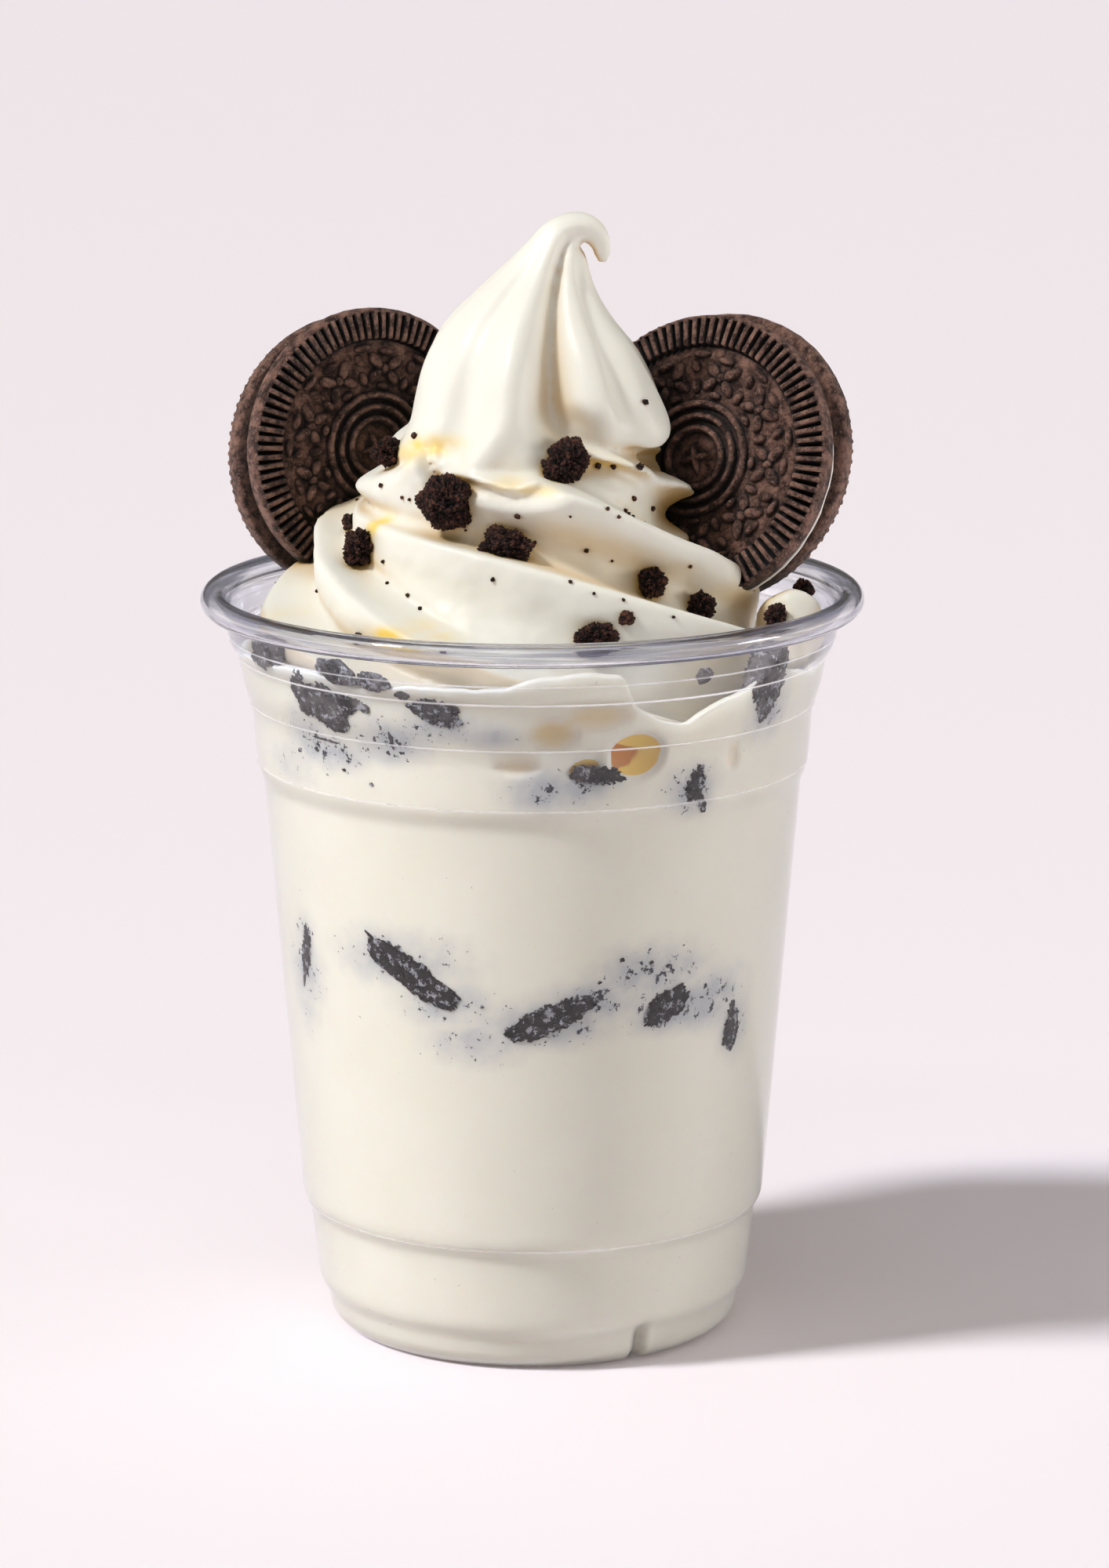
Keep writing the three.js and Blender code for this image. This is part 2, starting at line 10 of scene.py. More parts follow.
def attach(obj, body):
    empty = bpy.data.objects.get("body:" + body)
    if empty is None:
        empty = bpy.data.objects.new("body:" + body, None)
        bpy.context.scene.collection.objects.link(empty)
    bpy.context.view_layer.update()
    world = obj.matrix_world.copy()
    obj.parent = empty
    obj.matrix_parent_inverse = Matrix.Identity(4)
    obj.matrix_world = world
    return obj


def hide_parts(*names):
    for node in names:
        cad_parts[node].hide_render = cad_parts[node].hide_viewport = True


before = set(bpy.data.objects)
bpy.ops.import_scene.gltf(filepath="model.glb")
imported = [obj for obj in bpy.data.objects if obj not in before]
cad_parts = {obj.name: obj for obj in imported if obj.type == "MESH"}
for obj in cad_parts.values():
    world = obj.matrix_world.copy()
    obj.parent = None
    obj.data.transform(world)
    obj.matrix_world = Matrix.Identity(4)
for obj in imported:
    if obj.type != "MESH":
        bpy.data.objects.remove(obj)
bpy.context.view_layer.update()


# ---- Camera ----
# It stands 85 cm from the cup's axis, a little above the dessert, and looks down by 12.3 degrees.
LOOK_DOWN = math.radians(12.3)
STANDS_OFF = 0.85
AIM_X, AIM_Z = 0.00327, 0.0817


def put(name, data):
    """An object of some data, linked to the scene."""
    made = bpy.data.objects.new(name, data)
    bpy.context.scene.collection.objects.link(made)
    return made


camera = put("camera", bpy.data.cameras.new("camera"))
camera.data.sensor_width = 36
camera.data.lens = 131.04
camera.location = (
    AIM_X, -STANDS_OFF * math.cos(LOOK_DOWN), AIM_Z + STANDS_OFF * math.sin(LOOK_DOWN))
camera.rotation_euler = (math.pi / 2 - LOOK_DOWN, 0, 0)
bpy.context.scene.camera = camera


# ---- The cup ----
# A takeaway cup of clear PET sheet 0.7 mm thick, drawn over a mould with steps that stop the
# stack, and curled over at the top into a hollow rim. It stands on a ring round a raised panel.
MM = 0.001
PET_WALL = 0.7
BEND = 0.9
# Sections as radius and height: the raised panel from below and from above, and the wall.
PANEL_BELOW = [(0, 3.0), (23.2, 3.0), (25.2, 0)]
PANEL_ABOVE = [(0, 3.7), (23.9, 3.7), (25.9, 0.7), (28.5, 0.7)]
WALL_OUTSIDE = [
    (28.5, 0), (30.4, 1.6), (31.2, 5.2), (32.3, 6.8), (33.5, 18.0), (34.6, 19.8), (39.9, 83.5),
    (40.9, 86.0), (41.5, 94.0), (42.9, 98.4), (43.5, 102.0), (45.0, 104.6), (45.4, 109.0),
]
RIM_X, RIM_Z = 47.2, 110.2
RIM_OUTER, RIM_INNER = 1.8, 1.1
# The drain notches in the foot: angle of the first, half width in degrees, top, fade and depth,
# and the radius beyond which the foot's ring is pressed.
NOTCH_AT, NOTCH_HALF, NOTCH_TOP, NOTCH_FADE, NOTCH_DEPTH, RING_FROM = 31, 3, 6.8, 2.4, 1.9, 27


def on_circle(angle, radius, height):
    """A point in mm, at an angle from the front towards the right."""
    turn = math.radians(angle)
    return Vector((radius * math.sin(turn), -radius * math.cos(turn), height))


def round_axis(point):
    """The angle of a point from the front towards the right, and its distance from the axis."""
    return math.degrees(math.atan2(point.x, -point.y)), math.hypot(point.x, point.y)


def wall_outside(height):
    """The wall's outer radius at a height."""
    for (r0, z0), (r1, z1) in zip(WALL_OUTSIDE, WALL_OUTSIDE[1:]):
        if height <= z1:
            return r0 + (r1 - r0) * (height - z0) / (z1 - z0)
    return WALL_OUTSIDE[-1][0]


def rounded(corners, reach):
    """The same outline with each inner corner drawn as a short curve."""
    points = [corners[0]]
    for before, corner, after in zip(corners, corners[1:], corners[2:]):
        before, corner, after = Vector(before), Vector(corner), Vector(after)
        start = corner + (before - corner) * min(0.45, reach / (before - corner).length)
        end = corner + (after - corner) * min(0.45, reach / (after - corner).length)
        for t in (0, 0.35, 0.65, 1):
            points.append(tuple(start.lerp(corner, t).lerp(corner.lerp(end, t), t)))
    return points + [corners[-1]]


def spun(outline, steps):
    """A bmesh turned about the Z axis from (radius, height) points in mm."""
    bm = bmesh.new()
    chain = [bm.verts.new((r, 0, z)) for r, z in outline]
    edges = [bm.edges.new(pair) for pair in zip(chain, chain[1:])]
    bmesh.ops.spin(
        bm, geom=chain + edges, axis=(0, 0, 1), angle=2 * math.pi, steps=steps, use_merge=True)
    bmesh.ops.remove_doubles(bm, verts=bm.verts, dist=1e-4)
    bmesh.ops.recalc_face_normals(bm, faces=bm.faces)
    return bm


def rim_curl(radius):
    """The rolled rim's section, from the wall over the top and round to below."""
    turns = [math.radians(180 - 15 * i) for i in range(17)]
    return [(RIM_X + radius * math.cos(turn), RIM_Z + radius * math.sin(turn)) for turn in turns]


def press_notches(bm):
    """Three small drain notches in the foot."""
    for vert in bm.verts:
        angle, radius = round_axis(vert.co)
        away = (angle - NOTCH_AT + 60) % 120 - 60
        across = max(0, 1 - abs(away) / NOTCH_HALF)
        fade = min(1, max(0, (NOTCH_TOP - vert.co.z) / NOTCH_FADE))
        if across and radius > RING_FROM:
            vert.co.xy *= 1 - NOTCH_DEPTH * across * fade / radius


def linear(code):
    """An sRGB hex colour as linear RGBA."""
    channels = [int(code[i:i + 2], 16) / 255 for i in (1, 3, 5)]
    values = [c / 12.92 if c <= 0.04045 else ((c + 0.055) / 1.055) ** 2.4 for c in channels]
    return (*values, 1)


def node(material, kind, inputs=None, **settings):
    """Adds a node. A value in inputs is set, and a socket in inputs is linked."""
    made = material.node_tree.nodes.new(kind)
    for name, value in settings.items():
        setattr(made, name, value)
    for name, value in (inputs or {}).items():
        if isinstance(value, bpy.types.NodeSocket):
            material.node_tree.links.new(value, made.inputs[name])
        else:
            made.inputs[name].default_value = value
    return made


def bare_material(name):
    """A material with no nodes yet."""
    material = bpy.data.materials.new(name)
    material.use_nodes = True
    material.node_tree.nodes.clear()
    return material


def dress(bm, name, material, stands_for=(), smooth=180):
    """Makes a piece of a bmesh in mm, smooth but for edges sharper than some degrees."""
    bmesh.ops.scale(bm, verts=bm.verts, vec=(MM, MM, MM))
    mesh = bpy.data.meshes.new(name)
    bm.to_mesh(mesh)
    bm.free()
    mesh.shade_smooth()
    if smooth < 180:
        mesh.set_sharp_from_angle(angle=math.radians(smooth))
    mesh.materials.append(material)
    made = put(name, mesh)
    if stands_for:
        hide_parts(*stands_for)
    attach(made, "root")


# The sheet's underside runs from the panel up the wall and into the hollow rim, and its upper
# side comes back down.
rim_outer, rim_inner = rim_curl(RIM_OUTER), rim_curl(RIM_INNER)
outside = rounded([*PANEL_BELOW, *WALL_OUTSIDE, rim_inner[0]], BEND)
inside = [(r - PET_WALL, z) for r, z in WALL_OUTSIDE[1:]]
lining = rounded([*PANEL_ABOVE, *inside, rim_outer[0]], BEND)
cup_bm = spun(outside[:-1] + rim_inner + rim_outer[::-1] + lining[-2::-1], 240)
press_notches(cup_bm)

# Clear PET is glassy, with an IOR near 1.57, set a little lower because the sheet is so thin. It
# has almost no colour of its own; edge on, its colour turns blue-grey as a painted reflection.
# Drawing the hot sheet leaves slow waves in it, 14 mm long.
pet = bare_material("clear PET")
edge_on = node(pet, "ShaderNodeLayerWeight", {"Blend": 0.35})
edge_reflection = node(pet, "ShaderNodeMix", {
    0: edge_on.outputs["Facing"], 6: linear("#fbfcff"), 7: linear("#9a9fb4")}, data_type="RGBA")
waves_at = node(pet, "ShaderNodeTexCoord")
waves = node(pet, "ShaderNodeTexNoise", {
    "Vector": waves_at.outputs["Object"], "Scale": 70, "Detail": 2})
waver = node(pet, "ShaderNodeBump", {
    "Height": waves.outputs["Fac"], "Strength": 0.06, "Distance": 0.001})
sheet = node(pet, "ShaderNodeBsdfPrincipled", {
    "Base Color": edge_reflection.outputs[2], "Roughness": 0.03, "IOR": 1.5, "Transmission Weight": 1.0,
    "Normal": waver.outputs["Normal"]})
# Painted highlight lines along the steps: height of the line, half its width and strength.
STEP_HIGHLIGHTS = [
    (105.3, 0.11, 0.4), (102.4, 0.15, 0.75), (95.4, 0.12, 0.5), (86.4, 0.2, 0.3),
    (19.4, 0.15, 0.3),
]
level = node(pet, "ShaderNodeSeparateXYZ", {0: waves_at.outputs["Object"]}).outputs[2]
step_highlight_mask = None
for at, half, strength in STEP_HIGHLIGHTS:
    off = node(pet, "ShaderNodeMath", {0: level, 1: at * MM}, operation="SUBTRACT")
    line = node(pet, "ShaderNodeMapRange", {
        "Value": node(pet, "ShaderNodeMath", {0: off.outputs[0]}, operation="ABSOLUTE").outputs[0],
        "From Min": 1.6 * half * MM, "From Max": 0.4 * half * MM, "To Max": strength})
    step_highlight_mask = line if step_highlight_mask is None else node(
        pet, "ShaderNodeMath", {0: step_highlight_mask.outputs[0], 1: line.outputs[0]}, operation="MAXIMUM")
# The sheet's slow waves break up the painted highlight lines.
broken_highlight = node(pet, "ShaderNodeMath", {
    0: step_highlight_mask.outputs[0], 1: waves.outputs["Fac"]}, operation="MULTIPLY")
step_highlight = node(pet, "ShaderNodeBsdfPrincipled", {"Base Color": linear("#fdfdff"), "Roughness": 0.3})
highlit_sheet = node(pet, "ShaderNodeMixShader", {
    0: node(pet, "ShaderNodeMath", {0: broken_highlight.outputs[0], 1: 1.8}, operation="MULTIPLY").outputs[0],
    1: sheet.outputs[0], 2: step_highlight.outputs[0]})
# Reflections in the layers of the rolled rim are painted as blue-grey lines that run round it,
# 0.7 mm apart and each 20 mm and more long.
flat = node(pet, "ShaderNodeVectorMath", {
    0: waves_at.outputs["Object"], 1: (1, 1, 0)}, operation="MULTIPLY")
from_axis = node(pet, "ShaderNodeVectorMath", {
    0: flat.outputs[0]}, operation="LENGTH").outputs["Value"]
slow = node(pet, "ShaderNodeVectorMath", {
    0: flat.outputs[0], 1: (0.04, 0.04, 0)}, operation="MULTIPLY")
ring = node(pet, "ShaderNodeCombineXYZ", {0: from_axis, 2: level})
round_it = node(pet, "ShaderNodeVectorMath", {
    0: ring.outputs[0], 1: slow.outputs[0]}, operation="ADD")
layers = node(pet, "ShaderNodeTexNoise", {
    "Vector": round_it.outputs[0], "Scale": 1500, "Detail": 2, "Roughness": 0.5})
lined = node(pet, "ShaderNodeMapRange", {
    "Value": layers.outputs["Fac"], "From Min": 0.5, "From Max": 0.64, "To Max": 0.3})
on_rim = node(pet, "ShaderNodeMapRange", {
    "Value": level, "From Min": 107.5 * MM, "From Max": 109 * MM})
streaked = node(pet, "ShaderNodeMath", {
    0: lined.outputs[0], 1: on_rim.outputs[0]}, operation="MULTIPLY")
rim_reflection = node(pet, "ShaderNodeBsdfPrincipled", {"Base Color": linear("#8e8ea2"), "Roughness": 0.15})
rimmed = node(pet, "ShaderNodeMixShader", {
    0: streaked.outputs[0], 1: highlit_sheet.outputs[0], 2: rim_reflection.outputs[0]})
# Lamps shine straight through the thin wall, so that it casts no dark shadow.
rays = node(pet, "ShaderNodeLightPath")
clear = node(pet, "ShaderNodeBsdfTransparent", {"Color": linear("#f4f6fb")})
through = node(pet, "ShaderNodeMixShader", {
    0: rays.outputs["Is Shadow Ray"], 1: rimmed.outputs[0], 2: clear.outputs[0]})
node(pet, "ShaderNodeOutputMaterial", {"Surface": through.outputs[0]})
dress(cup_bm, "clear_cup", pet, ["cup"], smooth=50)


# ---- The yogurt in the cup ----
# Thick ivory yogurt blended with crushed cookie. It clings to the cup, so it reaches just into
# the wall, with a few air pockets near the top and grey smears where crumbs show through it.
LEVEL = 97.5
# Waves of its surface: height, how many round the cup, and phase.
LEVEL_WAVES = [(1.6, 2, 70), (1.1, 3, 20), (0.6, 7, 0)]
# How far it reaches into the wall, a degree in radians, and the radius on which places on the
# wall are measured.
CLING, DEGREE, WALL_RADIUS = 0.25, 0.0175, 40
# Air pockets against the wall: angle, height, half width, half height and depth. The deepest two
# are painted golden inside as a painted glow, and the first has painted shade, darkest in a wedge
# with an angle, height, half width and half height of its own.
GOLDEN_FROM, HOLLOW_EDGE = 1.5, 0.42
WEDGE_ANGLE, WEDGE_HEIGHT, WEDGE_WIDE, WEDGE_TALL = 21.3, 94.1, 3.7, 3
POCKETS = [
    (21.3, 94.3, 5.2, 4.2, 2.2), (10.8, 92.3, 3.0, 2.1, 1.6), (4.2, 98.0, 4.4, 2.8, 1.3),
    (-2.8, 93.4, 4.2, 1.9, 0.9), (12.5, 100.4, 6.0, 2.4, 1.0), (44.5, 92.0, 1.7, 2.3, 0.6),
]
# Smears of fine crumb: angle, height, half width, half height and how dark.
SMEARS = [
    (-51, 95, 7, 4, 0.8), (-45, 93, 8, 3, 0.9), (-29, 96, 7, 3.5, 1.0), (-17, 98.6, 7, 2.6, 0.9),
    (-10, 97.6, 6, 2.0, 0.7), (5, 89.4, 8, 3.2, 0.9), (11, 90.6, 6, 2.4, 0.8),
    (34, 88.5, 5, 4, 0.9), (53, 98, 5, 5, 0.9), (-58, 90, 7, 4, 0.5), (-30, 63, 14, 5, 0.7),
    (-20, 57, 9, 4, 0.8), (-62, 58, 6, 9, 0.7), (4, 54.5, 11, 4, 1.0), (14, 57.5, 9, 4, 0.9),
    (27, 61, 11, 5, 0.9), (33, 55.5, 10, 4, 0.9), (46, 56, 8, 5, 0.9), (53, 51, 4, 6, 0.9),
    (-14, 51, 9, 3.5, 0.7),
]
# How high the yogurt is smeared up the wall: angle and height. The smear starts as rings of one
# radius, a millimetre apart.
SMEAR_FROM, SMEAR_RINGS, SMEAR_RADIUS = 93, 10, 41.5
SMEARED_UP = [
    (-180, 100), (-150, 103), (-120, 100.5), (-90, 102.5), (-75, 103.6), (-60, 104.2), (-50, 104.4),
    (-42, 104.2), (-31, 103.8), (-21, 104.5), (-10, 104.4), (-5, 104.5), (-2.5, 105.2), (3, 106),
    (9, 106.4), (16.5, 106), (18.5, 103.6), (20, 101.8), (22.5, 100.2), (25.5, 98.9), (31, 98.3),
    (35.5, 100), (44, 101.5), (47, 102.4), (51, 104.5), (58, 103.5), (70, 102), (90, 103),
    (120, 101), (150, 104), (180, 100),
]


def follow(stations, x):
    """A smooth curve through (x, y) stations, read at x."""
    last = len(stations) - 1
    x = min(max(x, stations[0][0]), stations[last][0])
    i = 0
    while i < last - 1 and x > stations[i + 1][0]:
        i += 1

    def slope(k):
        (xa, ya), (xb, yb) = stations[max(k - 1, 0)], stations[min(k + 1, last)]
        return (yb - ya) / (xb - xa)

    (x0, y0), (x1, y1) = stations[i], stations[i + 1]
    t = (x - x0) / (x1 - x0)
    rise = t * t * (3 - 2 * t)
    bends = t * (1 - t) ** 2 * slope(i) + t * t * (t - 1) * slope(i + 1)
    return y0 + (y1 - y0) * rise + (x1 - x0) * bends


def smooth(low, high, value):
    """0 at low, 1 at high and smooth between."""
    t = min(1, max(0, (value - low) / (high - low)))
    return t * t * (3 - 2 * t)


def wrapped(angle):
    """The same angle between -180 and 180."""
    return (angle + 180) % 360 - 180


def blend_level(angle):
    """How high the blended yogurt stands against the wall."""
    return LEVEL + sum(
        high * math.sin(math.radians(turns * angle + phase)) for high, turns, phase in LEVEL_WAVES)


def clinging(height):
    """The radius of the yogurt that clings to the wall."""
    return wall_outside(height) - PET_WALL + CLING


def on_wall(spots, angle, height):
    """The strongest oval spot at a place on the wall, 1 at its middle, and its last value."""
    best, value = 0, 0
    for at, high, wide, tall, amount in spots:
        across = wrapped(angle - at) * DEGREE * WALL_RADIUS / wide
        share = math.exp(-(across ** 2 + ((height - high) / tall) ** 2) * 1.2)
        if share * amount > best * value:
            best, value = share, amount
    return best, value


# Its rings are closer above 40 mm, where the crumbs and pockets are.
blend_heights = [1.8 + 1.1 * i for i in range(35)] + [40.3 + 0.65 * i for i in range(82)]
blend_foot = [(0, 3.6), (24, 3.6), (26, 0.6), (28.6, 0.6)]
blend_wall = [(clinging(height), height) for height in blend_heights]
smear_wall = [(SMEAR_RADIUS, SMEAR_FROM + i) for i in range(1, SMEAR_RINGS + 1)]
smear_lip = [(41.2, 103.4), (40.7, 103.5), (40.2, 103.2), (40, 101), (39.6, 98), (39, 95.5)]
blend_top = [(37, 94.2), (33, 94), (22, 94), (11, 94), (0, 94)]
blend_bm = spun([*blend_foot, *blend_wall, *smear_wall, *smear_lip, *blend_top], 440)
press_notches(blend_bm)
smear_layer = blend_bm.verts.layers.float.new("smear")
pocket_layer = blend_bm.verts.layers.float.new("pocket")
pocket_shade_layer = blend_bm.verts.layers.float.new("pocket_shade")
shallow_glow_layer = blend_bm.verts.layers.float.new("shallow_glow")
for vert in blend_bm.verts:
    angle, radius = round_axis(vert.co)
    if vert.co.z > SMEAR_FROM + 0.2:
        # The smear is stretched to its own height all round, and its lip leans on the wall.
        share = (vert.co.z - SMEAR_FROM) / SMEAR_RINGS
        low, high = min(blend_level(angle), 96) - 2, follow(SMEARED_UP, angle)
        wide, narrow = on_circle(angle, 20, 0) * 0.3, on_circle(angle, 20, 5) * 0.9
        ruffle = 0.5 * noise.noise(wide) + 0.3 * noise.noise(narrow)
        vert.co.z = low + (high + ruffle - low) * min(share, 1.05)
        if radius > 38.5:
            vert.co.xy *= (clinging(vert.co.z) + radius - SMEAR_RADIUS) / radius
    if radius > 40.9 or radius > 24 and 40 < vert.co.z < 93:
        ragged = 0.5 + 0.5 * noise.fractal(vert.co * 0.35, 0.8, 2.1, 3)
        smear, dark = on_wall(SMEARS, angle, vert.co.z)
        vert[smear_layer] = max(0, smear * dark * (0.55 + ragged))
        pocket, deep = on_wall(POCKETS, angle, vert.co.z)
        hollow = max(0, pocket - HOLLOW_EDGE) / (1 - HOLLOW_EDGE)
        vert[pocket_layer] = pocket if deep > GOLDEN_FROM else 0
        # A shallow pocket gets a pale painted glow.
        vert[shallow_glow_layer] = 0 if deep > GOLDEN_FROM else 0.6 * smooth(0.25, 0.9, pocket) * deep
        # The wedge of painted shade opens to the left and ends just short of the pocket's right
        # edge.
        along = (angle - WEDGE_ANGLE) * DEGREE * WALL_RADIUS / WEDGE_WIDE
        up = (vert.co.z - WEDGE_HEIGHT) / WEDGE_TALL
        if abs(along) < 1.2 and abs(up) < 1:
            vert[pocket_shade_layer] = max(0, 0.36 * (0.95 - along) - abs(up + 0.05))
        vert.co.xy *= 1 - deep * math.sqrt(hollow) / round_axis(vert.co)[1]

# Thick blended yogurt is moist and half matt, and light goes a few millimetres into it and comes
# out warm. Its ivory varies in clouds of 11 mm.
blend_yogurt = bare_material("yogurt blended with cookie")
place = node(blend_yogurt, "ShaderNodeTexCoord").outputs["Object"]
smear = node(blend_yogurt, "ShaderNodeAttribute", attribute_name="smear").outputs["Fac"]
pocket = node(blend_yogurt, "ShaderNodeAttribute", attribute_name="pocket").outputs["Fac"]
clouds = node(blend_yogurt, "ShaderNodeTexNoise", {
    "Vector": place, "Scale": 90, "Detail": 5, "Roughness": 0.6})
body = node(blend_yogurt, "ShaderNodeMix", {
    0: clouds.outputs["Fac"], 6: linear("#efead9"), 7: linear("#f7f3e6")}, data_type="RGBA")
cloudy = node(blend_yogurt, "ShaderNodeMath", {
    0: smear, 1: clouds.outputs["Fac"]}, operation="MULTIPLY")
film = node(blend_yogurt, "ShaderNodeMapRange", {
    "Value": cloudy.outputs[0], "From Min": 0.06, "From Max": 0.48, "To Max": 0.6})
smeared = node(blend_yogurt, "ShaderNodeMix", {
    0: film.outputs[0], 6: body.outputs[2], 7: linear("#a3a8b6")}, data_type="RGBA")
# Crumbs of cookie show as dark grains inside the smears. They are 0.2 to 0.6 mm, drawn from
# noise of 1.1 mm, whose peaks alone are dark.
grain_noise = node(blend_yogurt, "ShaderNodeTexNoise", {
    "Vector": place, "Scale": 900, "Detail": 3, "Roughness": 0.7})
grain_share = node(blend_yogurt, "ShaderNodeMath", {
    0: smear, 1: 0.2, 2: 0.0}, operation="MULTIPLY_ADD")
grain_sum = node(blend_yogurt, "ShaderNodeMath", {
    0: grain_noise.outputs["Fac"], 1: grain_share.outputs[0]}, operation="ADD")
grain_mask = node(blend_yogurt, "ShaderNodeMapRange", {
    "Value": grain_sum.outputs[0], "From Min": 0.725, "From Max": 0.785})
grainy = node(blend_yogurt, "ShaderNodeMix", {
    0: grain_mask.outputs[0], 6: smeared.outputs[2], 7: linear("#3c3940")}, data_type="RGBA")
pocket_shade = node(blend_yogurt, "ShaderNodeMapRange", {
    "Value": node(blend_yogurt, "ShaderNodeAttribute", attribute_name="pocket_shade").outputs["Fac"],
    "From Min": 0.0, "From Max": 0.05})
pocket_glow_and_shade = node(blend_yogurt, "ShaderNodeMix", {
    0: pocket_shade.outputs[0], 6: linear("#f9d062"), 7: linear("#c97c00")}, data_type="RGBA")
# A deep pocket is painted golden inside, a painted glow of light that comes through the yogurt,
# and a shallow one gets only a paler painted glow.
oval = node(blend_yogurt, "ShaderNodeMapRange", {
    "Value": pocket, "From Min": 0.5, "From Max": 0.53})
shallow_glow = node(blend_yogurt, "ShaderNodeAttribute", attribute_name="shallow_glow").outputs["Fac"]
shallow_glowing = node(blend_yogurt, "ShaderNodeMix", {
    0: shallow_glow, 6: grainy.outputs[2], 7: linear("#e3c170")}, data_type="RGBA")
hollowed = node(blend_yogurt, "ShaderNodeMix", {
    0: oval.outputs[0], 6: shallow_glowing.outputs[2], 7: pocket_glow_and_shade.outputs[2]}, data_type="RGBA")
fine = node(blend_yogurt, "ShaderNodeBump", {
    "Height": clouds.outputs["Fac"], "Strength": 0.12, "Distance": 0.0006})
thick_yogurt = node(blend_yogurt, "ShaderNodeBsdfPrincipled", {
    "Base Color": hollowed.outputs[2], "Roughness": 0.45, "Specular IOR Level": 0.25,
    "Subsurface Weight": 0.25, "Subsurface Radius": (1.0, 0.7, 0.45), "Subsurface Scale": 0.0025,
    "Normal": fine.outputs["Normal"]})
node(blend_yogurt, "ShaderNodeOutputMaterial", {"Surface": thick_yogurt.outputs[0]})
dress(blend_bm, "blended_yogurt", blend_yogurt, ["yogurt_blend"])


# ---- The piped swirl ----
# Soft-serve yogurt from a star nozzle: a cone whose ridges run down to the right, and a fluted
# cap over it whose tip leans back and curls to the right. Its deep folds are painted yellow.
TURN_DROP = 58.7
# The cone's body under its ridges: height and radius.
SKIRT_BODY = [
    (86, 31), (98, 34), (104, 34), (108, 31.8), (112, 27.8), (116, 24), (119, 22.2), (122, 21.2),
    (128, 21), (131, 20.2), (134, 18.2), (137, 14), (140, 9),
]
# Each ridge: height at the front, how far it stands out, its share of swelling and at what angle,
# its reach above and below the crest, the rounding of its crest, its overhang (below 0 the lip
# is lifted instead), and how far its line bows down and from what angle.
RIDGES = [
    (141.0, 5.2, 0, 0, 1.2, 2.2, 0.6, 0.8, 0, 0),
    (131.6, 6.0, 0.32, 60, 1.5, 5.2, 0.2, -0.8, 5.6, 5),
    (118.8, 5.6, 0.5, 90, 1.5, 5.2, 0.2, -1.4, 8.5, 20),
    (105.1, 6.4, -0.1, -80, 1.3, 4.4, 0.2, -1.8, 4.4, -40),
    (99.2, 6.4, 0, 0, 1.2, 4.6, 0.3, -0.6, 2.7, 0),
    (91.2, 3.4, 0, 0, 3.2, 3.0, 0.8, 0.6, 1.0, 0),
]
LIP_WIDTH = 1.2
# A trough runs along the top of each ridge: its share of the ridge, how far up, half width.
TROUGH_SHARE, TROUGH_UP, TROUGH_WIDTH = 0.16, 2.4, 1.1
# The ridge under the cap ends at the right in a swollen tongue and thins out behind: which ridge,
# the tongue's angle, half width and swelling, and the share that is lost behind.
TONGUE_RIDGE, TONGUE_AT, TONGUE_WIDE, TONGUE_SWELL, THINNED = 1, 74, 16, 1.6, 0.55
# A full band meets the cap's hem at the left, and a fold lies over a ridge at the right: angle,
# half width and how far out, and for the fold its height and half height.
BAND_AT, BAND_WIDE, BAND_OUT = -88, 30, 2.6
FOLD_AT, FOLD_WIDE, FOLD_OUT, FOLD_HEIGHT, FOLD_TALL = 84, 20, 3.2, 119.5, 1.8
# Under the cap's hem the cone draws in, more so round one angle at the left: how far in, how far
# more, the angle and half width. The cone stands a little to the left.
CREVICE_IN, CREVICE_MORE, CREVICE_AT, CREVICE_WIDE, SKIRT_LEFT = 3.2, 1.6, -60, 35, 2.2
# The cap's middle line: its foot, its lean there, how much that changes over 28 mm, and how far
# the tip curls over, in degrees.
CAP_X, CAP_Z, LEAN_FROM, LEAN_BY, TIP_CURL = 1.4, 132.6, -9, 26, 150
SPINE_STEPS = 826
# The cap bulges over its hem at the left, a flute stands out beside that, and an edge runs down
# the front and turns left at the hem: angle, half width and share, and the edge's turn.
BULGE_AT, BULGE_WIDE, BULGE_SHARE, BULGE_UP = -82, 36, 0.14, 2.4
FLUTE_AT, FLUTE_WIDE, FLUTE_SHARE = -31, 8, 0.07
EDGE_AT, EDGE_WIDE, EDGE_SHARE, EDGE_TURNS = -12, 7, 0.07, -15
# The cap's radius along its middle line.
CAP_LENGTH = 41.3
CAP_BODY = [
    (0, 19.4), (1.5, 20.2), (4.5, 20), (9, 18.5), (12.5, 17), (16.4, 14.7), (21.4, 10.3),
    (25.6, 6.9), (29.7, 4.5), (33, 2.8), (36, 2), (38.8, 1.4), (40.4, 1), (41.3, 0.3),
]
# The cap's hem: angle and height.
HEM = [
    (-180, 132), (-120, 131.4), (-90, 130.6), (-56, 133.4), (-45, 135.6), (-39, 133.4),
    (-32, 130.2), (-25, 130.8), (-14, 130.7), (0, 129.7), (11, 130.8), (22, 133.6), (30, 132.9),
    (47, 132.3), (60, 130.9), (85, 131.8), (120, 131), (180, 132),
]
# Where light that has come through the yogurt glows in a fold: angle, height, half width, half
# height and how strongly.
GLOWS = [
    (-58, 133.2, 4.2, 1.3, 0.9), (-49, 134.6, 4.0, 1.2, 1.1), (-42, 135.4, 3.2, 1.0, 0.9),
    (-9, 130.6, 3.0, 0.8, 0.6), (1, 130.0, 3.0, 0.8, 0.7), (-62, 122.6, 1.6, 1.2, 1.4),
    (-33, 110.4, 3.2, 0.9, 1.2), (-27, 109.2, 3.2, 0.9, 1.1), (-72, 109.6, 3.0, 1.0, 0.2),
    (35, 132.0, 3.0, 0.8, 0.4),
]
